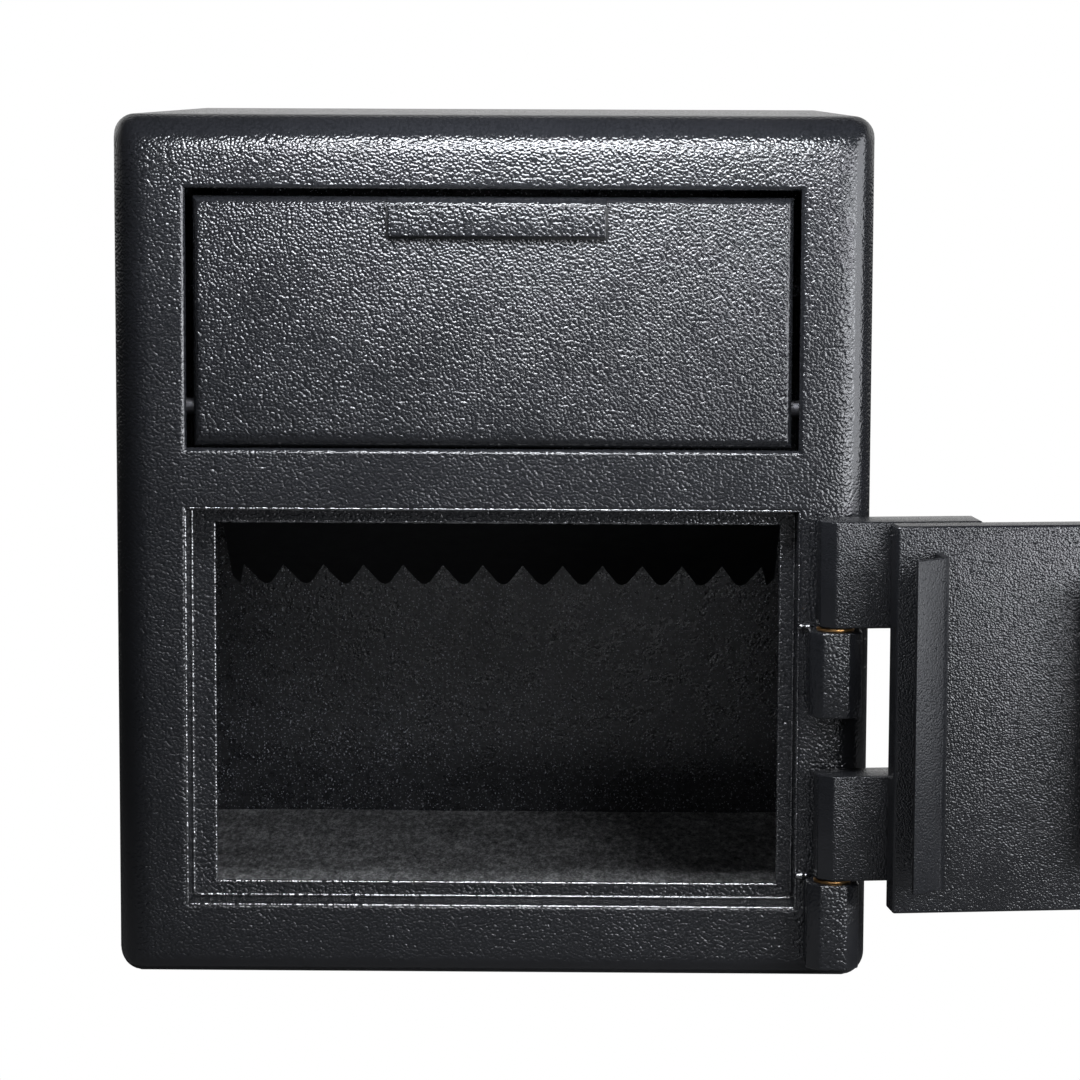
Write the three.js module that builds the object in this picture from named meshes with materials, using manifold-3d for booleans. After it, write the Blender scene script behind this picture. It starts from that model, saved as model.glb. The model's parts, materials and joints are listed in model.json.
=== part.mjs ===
// Front-loading drop safe with a tilt-out deposit hopper above a hinged, bolted door.
// Millimetres, +Z up, +X right and +Y back. The origin is the centre of the base, on the floor.
import * as THREE from 'three';
import { mergeVertices } from 'three/addons/utils/BufferGeometryUtils.js';
import Module from 'manifold-3d';

const wasm = await Module();
wasm.setup();

// Body
const bodyWidth = 355.6;
const bodyDepth = 355.6;
const bodySheet = 3.4;
const frontRound = 18;
const footRound = 10;
const cornerRound = 10;

// Openings in the front, from the floor up
const sillHeight = 34.4;
const doorOpeningHeight = 187.4;
const lintelHeight = 29.2;
const hopperOpeningHeight = 121;
const topRailHeight = 34.4;
const sideRailWidth = 34.6;

// Door recess and the flange that the door shuts against
const recessDepth = 16.5;
const flangeFree = 11.8;
const flangeHinge = 7.6;
const flangeTop = 7.3;
const flangeBottom = 7.5;

// Door
const doorThickness = 15.9;
const doorGapTop = 1.6;
const doorGapBottom = 5.1;
const doorGapFree = 3.2;
const doorGapHinge = 5.9;
const doorOpenDegrees = 187;

// Strap hinges
const hingeInset = 17.3;
const hingeSetForward = 12.5;
const knuckleWidth = 24.6;
const knuckleChamfer = 6;
const strapReach = 66.5;
const strapNose = 8.5;
const strapBackReach = 11.2;
const strapChamfer = 6.4;
const hingePinRadius = 4.75;
const upperKnuckleDrop = 93.2;
const upperKnuckleHeight = 40.1;
const upperStrapHeight = 49.7;
const lowerKnuckleDrop = 25;
const lowerKnuckleHeight = 40.3;
const hingeSetGap = 27.1;
const washerThickness = 1.5;
const washerRadius = 8.8;
const pinDepthShare = 0.8;

// Dead bar on the hinge side of the door
const deadBarStandoff = 31;
const deadBarWidth = 17.7;
const deadBarSheet = 3.2;
const deadBarFromEdge = 3.1;
const deadBarLength = 153.6;
const deadBarDrop = 12;
const deadBarBend = 5;

// Boltwork inside the door
const boltRadius = 7.5;
const boltThrow = 18;
const boltCount = 3;
const boltPitch = 45;
const boltStandoff = 14;
const boltTipInset = 14;
const boltTipProud = 1.1;
const boltTenonRadius = 4;
const guideSheet = 4;
const guideFoot = 13;
const headBlockWidth = 10;
const headMargin = 10;
const carriageSheet = 5;
const carriageStandoff = 7;
const carriageArmHeight = 10;
const postRadius = 2.6;
const postShoulder = 2.6;
const postInset = 5;
const coverDepth = 32.6;
const coverSheet = 1.4;
const coverMargin = 10;
const coverPostRadius = 3.4;
const coverScrewDepth = 10;

// Bolt handle
const handleFromFree = 68;
const handleTurnDegrees = 60;
const handleShaftRadius = 6;
const handleSpan = 68;
const handleBarWidth = 15;
const handleBarDepth = 12;
const handleHubRadius = 13;
const handleHubHeight = 18;
const roseRadius = 24;
const roseThickness = 4;
const roseBevel = 2;
const crankSheet = 5;
const crankHubWall = 5;
const crankEyeWall = 2.5;
const crankPinRadius = 3;

// Combination dial and lock
const dialFromHandle = 86;
const dialDrop = 17;
const dialRadius = 30.9;
const dialRingOuter = 40;
const dialRingDepth = 9;
const dialRingBevel = 3;
const dialFloat = 3;
const dialSocketDepth = 9;
const dialKnobRadius = 17;
const dialKnobHeight = 20;
const spindleRadius = 4;
const lockCaseWidth = 61;
const lockCaseBelow = 33;
const lockCaseAbove = 50;
const lockCaseDepth = 25.5;
const lockCaseWall = 3;
const lockCoverSheet = 2.7;
const lockBoltWidth = 10;
const lockBoltDepth = 8;
const lockBoltThrow = 10;
const lockBoltShift = 12;
const lockBoltInset = 6;
const lockLeverWidth = 5;
const lockLeverDrop = 16;
const caseScrewHeadHeight = 1.2;
const wheelRadius = 21.5;
const wheelThickness = 2.5;
const wheelPitch = 4;
const wheelCount = 3;
const wheelSetback = 1.25;
const wheelPostRadius = 7;
const gateWidth = 5;
const gateDepth = 4;
const driveCamRadius = 18;
const driveCamThickness = 4;

// Deposit hopper
const hopperSheet = 2.5;
const hopperGapSide = 3.3;
const hopperGapTop = 3.5;
const hopperGapBottom = 0.6;
const hopperPivotRise = 18.5;
const hopperPivotSetback = 15;
const hopperOpenDegrees = 50;
const hopperReturn = 26;
const hopperBottomBend = 8;
const hopperTopBend = 4;
const hopperSideBend = 3;
const pullLipWidth = 101;
const pullLipShift = 2;
const pullLipHeight = 18.2;
const pullLipProud = 5;
const pullLipBevel = 3.3;
const hopperPinRadius = 4;
const hopperPinHead = 7;
const hopperPinHeadHeight = 2.5;
const hopperPinInside = 5;
const bushWall = 1.9;
const bushFlange = 2.5;
const stopTabOut = 9.8;
const stopTabThickness = 3;

// The hopper's bin. Points are [back, up] from the pivot: the tray's are shares of the reach above
// it, and the cheeks' are shares of their own radius, from the foot round to the rear
const cheekTopClearance = 6.5;
const cheekSetback = 2.5;
const trayFrontShare = 0.32;
const trayRearShares = [0.6, -0.2];
const trayLipShare = 0.12;
const cheekFootShare = 0.14;
const cheekFrontShare = 0.985;
const cheekRearShares = [[0.66, -0.15], [0.6, -0.245], [0.15, -0.145]];
const cheekSpreadDegrees = 52;
const cheekArcSteps = 8;
const stopTabShares = [0.72, 0.94];

// Chute under the hopper, with its saw-tooth edge
const chuteSheet = 2.6;
const sidePlateSheet = 3;
const sidePlateOut = 5.3;
const chuteDrop = 16;
const chuteLevelRun = 124;
const chuteSlopeDegrees = 33.5;
const chuteSlopeRun = 139.5;
const toothPitch = 21;
const toothDepth = 23;
const chuteOverlap = 0.4;
const guardGap = 2.6;
const guardFlange = 17;

// Floor
const floorPlateThickness = 4.8;
const matThickness = 5;
const anchorHoleRadius = 6.5;
const anchorInset = 58;

// One tooth from its left root to its right root: [share of the pitch, share of the depth]
const toothShares = [[0, 0], [0.34, 0.82], [0.42, 0.96], [0.5, 1], [0.58, 0.96], [0.66, 0.82]];
const toothEndShare = 0.6;

// Clearances and drawing values
const fitGap = 0.3;
const runGap = 0.6;
const cutOverrun = 2;
const screwRadius = 2.2;
const screwHeadRadius = 4.5;
const screwHeadHeight = 2.4;
const roundSegments = 28;
const bendSegments = 3;
const mergeTolerance = 1e-4;

const metals = {
  coat: { color: 0x1d1f23, roughness: 0.42, metalness: 0.35 },
  inside: { color: 0x17181b, roughness: 0.6, metalness: 0.3 },
  steel: { color: 0x9a9ca0, roughness: 0.35, metalness: 0.9 },
  zinc: { color: 0xb9b48f, roughness: 0.4, metalness: 0.8 },
  brass: { color: 0xa8753c, roughness: 0.35, metalness: 0.9 },
  chrome: { color: 0xc9ccd0, roughness: 0.15, metalness: 1 },
  felt: { color: 0x4a4a4c, roughness: 0.95, metalness: 0 },
  nylon: { color: 0xd8d5cc, roughness: 0.6, metalness: 0 },
  dialBlack: { color: 0x121214, roughness: 0.4, metalness: 0.2 },
};

const safe = new THREE.Group();
safe.name = 'drop_safe';

// A closed solid for cutting and joining, from any closed geometry
function toSolid(geometry) {
  const bare = geometry.clone();
  bare.deleteAttribute('normal');
  bare.deleteAttribute('uv');
  const merged = mergeVertices(bare, mergeTolerance);
  const corners = merged.index.array;
  const kept = [];
  for (let i = 0; i < corners.length; i += 3) {
    const [a, b, c] = [corners[i], corners[i + 1], corners[i + 2]];
    if (a !== b && b !== c && c !== a) kept.push(a, b, c);
  }
  const vertProperties = new Float32Array(merged.attributes.position.array);
  const triVerts = new Uint32Array(kept);
  return new wasm.Manifold(new wasm.Mesh({ numProp: 3, vertProperties, triVerts }));
}

function toGeometry(solid) {
  const mesh = solid.getMesh();
  const geometry = new THREE.BufferGeometry();
  const positions = new THREE.BufferAttribute(new Float32Array(mesh.vertProperties), 3);
  geometry.setAttribute('position', positions);
  geometry.setIndex(new THREE.BufferAttribute(new Uint32Array(mesh.triVerts), 1));
  geometry.computeVertexNormals();
  return geometry;
}

function joined(solids) {
  return solids.slice(1).reduce((sum, solid) => sum.add(solid), solids[0]);
}

function cut(solid, tools) {
  return tools.reduce((rest, tool) => rest.subtract(tool), solid);
}

function box(x, y, z) {
  const geometry = new THREE.BoxGeometry(x[1] - x[0], y[1] - y[0], z[1] - z[0]);
  geometry.translate((x[0] + x[1]) / 2, (y[0] + y[1]) / 2, (z[0] + z[1]) / 2);
  return toSolid(geometry);
}

// A round bar along one axis, from one end value to the other, centred on the two other values
function bar(axis, centre, ends, radius) {
  const geometry = new THREE.CylinderGeometry(radius, radius, ends[1] - ends[0], roundSegments);
  const middle = (ends[0] + ends[1]) / 2;
  if (axis === 'x') geometry.rotateZ(-Math.PI / 2).translate(middle, centre[0], centre[1]);
  if (axis === 'y') geometry.translate(centre[0], middle, centre[1]);
  if (axis === 'z') geometry.rotateX(Math.PI / 2).translate(centre[0], centre[1], middle);
  return toSolid(geometry);
}

// A ring or stepped round piece about a line along Y, from [radius, y] pairs that close on themselves
function turnedAlongY(profile, x, z) {
  const points = [...profile, profile[0]].map(([r, y]) => new THREE.Vector2(r, y));
  return toSolid(new THREE.LatheGeometry(points, roundSegments).translate(x, 0, z));
}

function turnedAlongX(profile, y, z) {
  const points = [...profile, profile[0]].map(([r, x]) => new THREE.Vector2(r, x));
  const geometry = new THREE.LatheGeometry(points, roundSegments).rotateZ(-Math.PI / 2);
  return toSolid(geometry.translate(0, y, z));
}

function turnedAlongZ(profile, x, y) {
  const points = [...profile, profile[0]].map(([r, z]) => new THREE.Vector2(r, z));
  const geometry = new THREE.LatheGeometry(points, roundSegments).rotateX(Math.PI / 2);
  return toSolid(geometry.translate(x, y, 0));
}

// Outlines drawn in two of the three axes and drawn out along the third
const frames = {
  x: new THREE.Matrix4().set(0, 0, 1, 0, 1, 0, 0, 0, 0, 1, 0, 0, 0, 0, 0, 1),
  y: new THREE.Matrix4().set(1, 0, 0, 0, 0, 0, -1, 0, 0, 1, 0, 0, 0, 0, 0, 1),
  z: new THREE.Matrix4(),
};

function shapeOf(outline) {
  return new THREE.Shape(outline.map(([u, v]) => new THREE.Vector2(u, v)));
}

function prism(axis, outline, ends) {
  const shape = outline instanceof THREE.Shape ? outline : shapeOf(outline);
  const settings = { depth: ends[1] - ends[0], bevelEnabled: false, curveSegments: bendSegments };
  const geometry = new THREE.ExtrudeGeometry(shape, settings);
  geometry.applyMatrix4(frames[axis]);
  if (axis === 'x') geometry.translate(ends[0], 0, 0);
  if (axis === 'y') geometry.translate(0, ends[1], 0);
  if (axis === 'z') geometry.translate(0, 0, ends[0]);
  return toSolid(geometry);
}

// A rectangle whose corners may each be round, from low-low round to low-high
function roundedOutline(u, v, radii) {
  const shape = new THREE.Shape();
  const corners = [[u[0], v[0], 1, 1], [u[1], v[0], -1, 1], [u[1], v[1], -1, -1], [u[0], v[1], 1, -1]];
  corners.forEach(([cornerU, cornerV, inU, inV], i) => {
    const radius = radii[i];
    const start = (i + 2) * Math.PI / 2;
    const [centreU, centreV] = [cornerU + inU * radius, cornerV + inV * radius];
    if (radius > 0) shape.absarc(centreU, centreV, radius, start, start + Math.PI / 2, false);
    else if (i === 0) shape.moveTo(cornerU, cornerV);
    else shape.lineTo(cornerU, cornerV);
  });
  shape.closePath();
  return shape;
}

function addNode(parent, name, solid, metal) {
  const geometry = toGeometry(solid);
  geometry.translate(-parent.userData.x, -parent.userData.y, 0);
  const mesh = new THREE.Mesh(geometry, new THREE.MeshStandardMaterial(metals[metal]));
  mesh.name = name;
  parent.add(mesh);
}

safe.userData = { x: 0, y: 0 };

// Faces of the body
const doorOpeningTop = sillHeight + doorOpeningHeight;
const hopperOpeningBottom = doorOpeningTop + lintelHeight;
const hopperOpeningTop = hopperOpeningBottom + hopperOpeningHeight;
const bodyHeight = hopperOpeningTop + topRailHeight;
const frontY = -bodyDepth / 2;
const backY = bodyDepth / 2;
const faceBackY = frontY + bodySheet;
const innerHalf = bodyWidth / 2 - bodySheet;
const innerTop = bodyHeight - bodySheet;
const openingHalf = bodyWidth / 2 - sideRailWidth;

// The folded body: three crossed prisms give its round front edges and its tighter long corners
function bodyForm(inset, backEnd) {
  const half = bodyWidth / 2 - inset;
  const z = [inset, bodyHeight - inset];
  const y = [frontY + inset, backEnd];
  const corner = cornerRound - inset;
  const [front, foot] = [frontRound - inset, footRound - inset];
  const longForm = prism('y', roundedOutline([-half, half], z, [corner, corner, corner, corner]), y);
  const planForm = prism('z', roundedOutline([-half, half], y, [front, front, 0, 0]), z);
  const sideForm = prism('x', roundedOutline(y, z, [foot, 0, 0, front]), [-half, half]);
  return longForm.intersect(planForm).intersect(sideForm);
}

const anchorPlaces = [-1, 1].flatMap((sideX) => [-1, 1].map((sideY) => [
  sideX * (bodyWidth / 2 - anchorInset), sideY * (bodyDepth / 2 - anchorInset)]));

function anchorHoles(z) {
  const ends = [z[0] - cutOverrun, z[1] + cutOverrun];
  return anchorPlaces.map((place) => bar('z', place, ends, anchorHoleRadius));
}

function bodyShell() {
  const faceCut = [frontY - cutOverrun, faceBackY + cutOverrun];
  const across = [-openingHalf, openingHalf];
  return cut(bodyForm(0, backY), [
    bodyForm(bodySheet, backY + cutOverrun),
    box(across, faceCut, [sillHeight, doorOpeningTop]),
    box(across, faceCut, [hopperOpeningBottom, hopperOpeningTop]),
    ...anchorHoles([0, bodySheet]),
  ]);
}

function backPlate() {
  const half = innerHalf - fitGap;
  const corner = cornerRound - bodySheet;
  const outline = roundedOutline([-half, half], [bodySheet + fitGap, innerTop - fitGap],
    [corner, corner, corner, corner]);
  return prism('y', outline, [backY - bodySheet, backY]);
}

// Frame of the door recess: its walls stand behind the face and its flange stops the door
const flangeFrontY = frontY + recessDepth;
const flangeBackY = flangeFrontY + bodySheet;
const innerOpening = {
  x: [-openingHalf + flangeFree, openingHalf - flangeHinge],
  z: [sillHeight + flangeBottom, doorOpeningTop - flangeTop],
};

function doorJamb() {
  const half = openingHalf + bodySheet;
  const outerZ = [sillHeight - bodySheet, doorOpeningTop + bodySheet];
  const outer = box([-half, half], [faceBackY, flangeBackY], outerZ);
  const recess = box([-openingHalf, openingHalf], [faceBackY - cutOverrun, flangeFrontY],
    [sillHeight, doorOpeningTop]);
  const through = box(innerOpening.x, [faceBackY, flangeBackY + cutOverrun], innerOpening.z);
  return cut(outer, [recess, through]);
}

const floorFrontY = faceBackY + footRound;
const floorHalf = innerHalf - cornerRound;
const floorPlateTop = bodySheet + floorPlateThickness;
const floorBackY = backY - bodySheet - fitGap;

function floorPlate() {
  const z = [bodySheet, floorPlateTop];
  return cut(box([-floorHalf, floorHalf], [floorFrontY, floorBackY], z), anchorHoles(z));
}

function floorMat() {
  const half = floorHalf - fitGap;
  const z = [floorPlateTop, floorPlateTop + matThickness];
  return box([-half, half], [flangeBackY + fitGap, floorBackY - fitGap], z);
}

addNode(safe, 'body_shell', bodyShell(), 'coat');
addNode(safe, 'back_plate', backPlate(), 'coat');
addNode(safe, 'door_jamb', doorJamb(), 'coat');
addNode(safe, 'floor_plate', floorPlate(), 'inside');
addNode(safe, 'floor_mat', floorMat(), 'felt');

// Hopper: the pivot line and the circle that its cheeks turn in
const pivotY = frontY + hopperPivotSetback;
const pivotZ = hopperOpeningBottom + hopperPivotRise;
const hopperReach = hopperOpeningTop - pivotZ;
const cheekRadius = hopperReach - cheekTopClearance;
const hopperHalf = openingHalf - hopperGapSide;
const cheekOuter = hopperHalf - hopperSheet - fitGap;
const cheekInner = cheekOuter - hopperSheet;
const sidePlateInner = openingHalf + sidePlateOut;
const sidePlateOuter = sidePlateInner + sidePlateSheet;
const panelBottom = hopperOpeningBottom + hopperGapBottom;
const panelTop = hopperOpeningTop - hopperGapTop;
const panelBackY = frontY + hopperSheet;
const hopperOpen = THREE.MathUtils.degToRad(hopperOpenDegrees);

// A point given back from the pivot and up from it, after the hopper has turned shut by an angle
function fromPivot(back, up, angle = 0) {
  const [cos, sin] = [Math.cos(angle), Math.sin(angle)];
  return [pivotY + back * cos + up * sin, pivotZ + up * cos - back * sin];
}

// Two ends on one side of the middle, given for the right
function mirrored(side, ends) {
  return side > 0 ? ends : [-ends[1], -ends[0]];
}

function hopperForm(inset, backEnd) {
  const half = hopperHalf - inset;
  const y = [frontY + inset, backEnd];
  const z = [panelBottom + inset, panelTop - inset];
  const bottomBend = hopperBottomBend - inset;
  const topBend = hopperTopBend - inset;
  const sideBend = hopperSideBend - inset;
  const sideForm = prism('x', roundedOutline(y, z, [bottomBend, 0, 0, topBend]), [-half, half]);
  const planForm = prism('z', roundedOutline([-half, half], y, [sideBend, sideBend, 0, 0]), z);
  return sideForm.intersect(planForm);
}

const bushRadius = hopperPinRadius + fitGap + bushWall;

function pivotHole(radius) {
  return bar('x', [pivotY, pivotZ], [-bodyWidth / 2, bodyWidth / 2], radius);
}

function hopperPanel() {
  const backEnd = frontY + hopperReturn;
  return cut(hopperForm(0, backEnd), [
    hopperForm(hopperSheet, backEnd + cutOverrun),
    pivotHole(bushRadius + fitGap),
  ]);
}

function pullLip() {
  const top = panelTop;
  const face = frontY - pullLipProud;
  const outline = [
    [frontY, top - pullLipHeight], [frontY, top], [face + pullLipBevel, top],
    [face, top - pullLipBevel], [face, top - pullLipHeight],
  ];
  return prism('x', outline, [pullLipShift - pullLipWidth / 2, pullLipShift + pullLipWidth / 2]);
}

const trayFront = [panelBackY + fitGap - pivotY, trayFrontShare * hopperReach];
const trayRear = trayRearShares.map((share) => share * hopperReach);
const trayHalf = cheekInner - fitGap;

function hopperTray() {
  const frontBack = trayFront[0] + hopperSheet;
  const slope = (trayRear[1] - trayFront[1]) / (trayRear[0] - trayFront[0]);
  const lipTop = trayFront[1] + trayLipShare * hopperReach;
  const outline = [
    [trayFront[0], trayFront[1] - hopperSheet], [trayRear[0], trayRear[1] - hopperSheet],
    [trayRear[0], trayRear[1]], [frontBack, trayFront[1] + slope * hopperSheet],
    [frontBack, lipTop], [trayFront[0], lipTop],
  ];
  return prism('x', outline.map(([back, up]) => fromPivot(back, up)), [-trayHalf, trayHalf]);
}

function cheek(side) {
  const front = panelBackY + cheekSetback + fitGap - pivotY;
  const outline = [[front, -cheekFootShare * cheekRadius], [front, cheekFrontShare * cheekRadius]];
  const first = Math.asin(front / cheekRadius);
  const last = THREE.MathUtils.degToRad(cheekSpreadDegrees);
  for (let i = 1; i <= cheekArcSteps; i++) {
    const angle = first + (last - first) * i / cheekArcSteps;
    outline.push([cheekRadius * Math.sin(angle), cheekRadius * Math.cos(angle)]);
  }
  for (const [back, up] of cheekRearShares) outline.push([back * cheekRadius, up * cheekRadius]);
  const x = mirrored(side, [cheekInner, cheekOuter]);
  const plate = prism('x', outline.map(([back, up]) => fromPivot(back, up)), x);
  return cut(plate.add(stopTab(side)), [pivotHole(bushRadius + fitGap)]);
}

// The tab meets the back of the face when the hopper is fully out
function stopTab(side) {
  const face = faceBackY + fitGap + runGap / 2 - pivotY;
  const [low, high] = stopTabShares.map((share) => share * cheekRadius);
  const rear = face + stopTabThickness;
  const open = [[face, low], [rear, low], [rear, high], [face, high]];
  const outline = open.map(([back, up]) => fromPivot(back, up, hopperOpen));
  return prism('x', outline, mirrored(side, [cheekInner, cheekOuter + stopTabOut]));
}

function hopperBush(side) {
  const inner = hopperPinRadius + fitGap;
  const flangeEnds = mirrored(side, [cheekInner - fitGap - bushFlange, cheekInner - fitGap]);
  const sleeveEnds = mirrored(side, [cheekInner - fitGap - bushFlange, hopperHalf]);
  const sleeve = [[inner, sleeveEnds[0]], [bushRadius, sleeveEnds[0]], [bushRadius, sleeveEnds[1]],
    [inner, sleeveEnds[1]]];
  const flangeRadius = bushRadius + bushFlange;
  const flange = [[inner, flangeEnds[0]], [flangeRadius, flangeEnds[0]], [flangeRadius, flangeEnds[1]],
    [inner, flangeEnds[1]]];
  return turnedAlongX(sleeve, pivotY, pivotZ).add(turnedAlongX(flange, pivotY, pivotZ));
}

function hopperPin(side) {
  const headStart = sidePlateOuter + fitGap;
  const headEnd = headStart + hopperPinHeadHeight;
  const shank = mirrored(side, [cheekInner - hopperPinInside, headEnd]);
  const head = mirrored(side, [headStart, headEnd]);
  return joined([
    bar('x', [pivotY, pivotZ], shank, hopperPinRadius),
    bar('x', [pivotY, pivotZ], head, hopperPinHead),
  ]);
}

const chuteTop = hopperOpeningBottom - chuteDrop;
const chuteLevelEnd = faceBackY + chuteLevelRun;

function sidePlate(side) {
  const bottom = chuteTop - chuteSheet;
  const outline = [
    [faceBackY, bottom], [chuteLevelEnd, bottom], [chuteLevelEnd, innerTop],
    [faceBackY + frontRound, innerTop], [faceBackY, innerTop - frontRound],
  ];
  const x = mirrored(side, [sidePlateInner, sidePlateOuter]);
  return cut(prism('x', outline, x), [pivotHole(hopperPinRadius + fitGap)]);
}

// A level plate behind the lintel and a slope that ends in teeth, drawn flat and then tipped down
function sawToothChute() {
  const slope = THREE.MathUtils.degToRad(chuteSlopeDegrees);
  const half = openingHalf + chuteOverlap;
  const toothCount = Math.floor(2 * half / toothPitch);
  const teethHalf = toothCount * toothPitch / 2;
  const root = chuteSlopeRun - toothDepth;
  const shoulder = root + toothDepth * toothEndShare;
  const tip = (half + teethHalf) / 2;
  const outline = [[-half, 0], [half, 0], [half, shoulder], [tip, root + toothDepth], [teethHalf, root]];
  for (let i = toothCount - 1; i >= 0; i--) {
    const left = -teethHalf + i * toothPitch;
    for (const [along, down] of [...toothShares].reverse()) {
      outline.push([left + along * toothPitch, root + down * toothDepth]);
    }
  }
  outline.push([-tip, root + toothDepth], [-half, shoulder]);
  const settings = { depth: chuteSheet, bevelEnabled: false };
  const geometry = new THREE.ExtrudeGeometry(shapeOf(outline), settings);
  geometry.rotateX(-slope);
  const drop = chuteSheet * Math.cos(slope);
  geometry.translate(0, chuteLevelEnd - chuteSheet * Math.sin(slope), chuteTop - drop);
  const reach = sidePlateInner - fitGap;
  const level = box([-reach, reach], [faceBackY, chuteLevelEnd], [chuteTop - chuteSheet, chuteTop]);
  return toSolid(geometry).add(level);
}

// Hangs from the roof between the cheeks and closes the way past the tray when the hopper is out
const [trayOpenY, trayOpenZ] = fromPivot(trayRear[0], trayRear[1], -hopperOpen);
const guardY = trayOpenY + guardGap;
const guardBottom = trayOpenZ;

function rearGuard() {
  const half = cheekInner - 2 * runGap;
  const upright = box([-half, half], [guardY, guardY + chuteSheet], [guardBottom, innerTop]);
  const flange = box([-half, half], [guardY, guardY + guardFlange], [innerTop - chuteSheet, innerTop]);
  return upright.add(flange);
}

const hopper = new THREE.Group();
hopper.userData = { x: 0, y: 0 };
safe.add(hopper);

addNode(safe, 'saw_tooth_chute', sawToothChute(), 'inside');
addNode(safe, 'rear_guard', rearGuard(), 'inside');
addNode(hopper, 'hopper_panel', hopperPanel(), 'coat');
addNode(hopper, 'hopper_pull_lip', pullLip(), 'coat');
addNode(hopper, 'hopper_tray', hopperTray(), 'inside');
for (const [sideName, side] of [['left', -1], ['right', 1]]) {
  addNode(safe, `hopper_side_plate_${sideName}`, sidePlate(side), 'inside');
  addNode(safe, `hopper_pin_${sideName}`, hopperPin(side), 'steel');
  addNode(hopper, `hopper_cheek_${sideName}`, cheek(side), 'inside');
  addNode(hopper, `hopper_bush_${sideName}`, hopperBush(side), 'nylon');
}

// Strap hinges, with the axis in front of the face
const hingeX = bodyWidth / 2 - hingeInset;
const hingeY = frontY - hingeSetForward;

const door = new THREE.Group();
door.userData = { x: hingeX, y: hingeY };
door.position.set(hingeX, hingeY, 0);
door.rotation.z = THREE.MathUtils.degToRad(doorOpenDegrees);
safe.add(door);

function boredBlock(outline, z, bore) {
  return cut(prism('z', outline, z), [bar('z', [hingeX, hingeY], bore, hingePinRadius + fitGap)]);
}

// A body knuckle is an eight-sided block, and its hole is open at the top
function bodyKnuckle(z, pinDepth) {
  const half = knuckleWidth / 2;
  const flat = half - knuckleChamfer;
  const places = [[-half, -flat], [-flat, -half], [flat, -half], [half, -flat],
    [half, flat], [flat, hingeSetForward], [-flat, hingeSetForward], [-half, flat]];
  const outline = places.map(([u, v]) => [hingeX + u, hingeY + v]);
  return boredBlock(outline, z, [z[1] - pinDepth, z[1] + cutOverrun]);
}

// A strap lies on the outside of the door and ends in the upper knuckle of its hinge
function hingeStrap(z, pinDepth) {
  const front = hingeSetForward - fitGap;
  const outline = [
    [-strapReach, -strapBackReach], [strapNose - strapChamfer, -strapBackReach],
    [strapNose, -strapBackReach + strapChamfer], [strapNose, front - strapChamfer],
    [strapNose - strapChamfer, front], [-strapReach, front],
  ].map(([u, v]) => [hingeX + u, hingeY + v]);
  return boredBlock(outline, z, [z[0] - cutOverrun, z[0] + pinDepth]);
}

// The lower strap ends at a set gap below the upper knuckle
const upperKnuckleBottom = doorOpeningTop - upperKnuckleDrop;
const lowerKnuckleBottom = sillHeight - lowerKnuckleDrop;
const strapLift = washerThickness + 2 * fitGap;
const lowerStrapBottom = lowerKnuckleBottom + lowerKnuckleHeight + strapLift;
const lowerStrapHeight = upperKnuckleBottom - hingeSetGap - lowerStrapBottom;
const hingeSets = [
  ['upper', upperKnuckleBottom, upperKnuckleHeight, upperStrapHeight],
  ['lower', lowerKnuckleBottom, lowerKnuckleHeight, lowerStrapHeight],
];

for (const [name, bottom, knuckleHeight, strapHeight] of hingeSets) {
  const knuckleTop = bottom + knuckleHeight;
  const strapBottom = knuckleTop + strapLift;
  const below = pinDepthShare * knuckleHeight;
  const above = pinDepthShare * strapHeight;
  const washerBore = hingePinRadius + fitGap;
  const washerTop = knuckleTop + washerThickness;
  const washer = [[washerBore, knuckleTop], [washerRadius, knuckleTop],
    [washerRadius, washerTop], [washerBore, washerTop]];
  const pinEnds = [knuckleTop - below + fitGap, strapBottom + above - fitGap];
  addNode(safe, `hinge_knuckle_${name}`, bodyKnuckle([bottom, knuckleTop], below), 'coat');
  addNode(safe, `hinge_pin_${name}`, bar('z', [hingeX, hingeY], pinEnds, hingePinRadius), 'steel');
  addNode(safe, `hinge_washer_${name}`, turnedAlongZ(washer, hingeX, hingeY), 'brass');
  const strap = hingeStrap([strapBottom, strapBottom + strapHeight], above);
  addNode(door, `hinge_strap_${name}`, strap, 'coat');
}

// Door plate, shut: its outside is flush with the face
const doorX = [-openingHalf + doorGapFree, openingHalf - doorGapHinge];
const doorZ = [sillHeight + doorGapBottom, doorOpeningTop - doorGapTop];
const doorInY = frontY + doorThickness;
const doorMidZ = (doorZ[0] + doorZ[1]) / 2;
const handleX = doorX[0] + handleFromFree;
const handleZ = doorMidZ;
const dialX = handleX + dialFromHandle;
const dialZ = handleZ - dialDrop;
const seatY = doorInY + fitGap;

function doorPlate() {
  const y = [frontY - cutOverrun, doorInY + cutOverrun];
  return cut(box(doorX, [frontY, doorInY], doorZ), [
    bar('y', [handleX, handleZ], y, handleShaftRadius + fitGap),
    bar('y', [dialX, dialZ], y, spindleRadius + runGap),
  ]);
}

// An L-shaped bar whose lip reaches behind the hinge side's flange when the door is shut
function deadBar() {
  const right = doorX[1] - deadBarFromEdge;
  const left = right - deadBarWidth;
  const tip = seatY + deadBarStandoff;
  const z = [doorZ[1] - deadBarDrop - deadBarLength, doorZ[1] - deadBarDrop];
  const outer = prism('z', roundedOutline([left, right], [seatY, tip], [0, 0, 0, deadBarBend]), z);
  const innerBend = deadBarBend - deadBarSheet;
  const inner = roundedOutline([left + deadBarSheet, right + cutOverrun],
    [seatY - cutOverrun, tip - deadBarSheet], [0, 0, 0, innerBend]);
  return outer.subtract(prism('z', inner, [z[0] - cutOverrun, z[1] + cutOverrun]));
}

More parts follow.
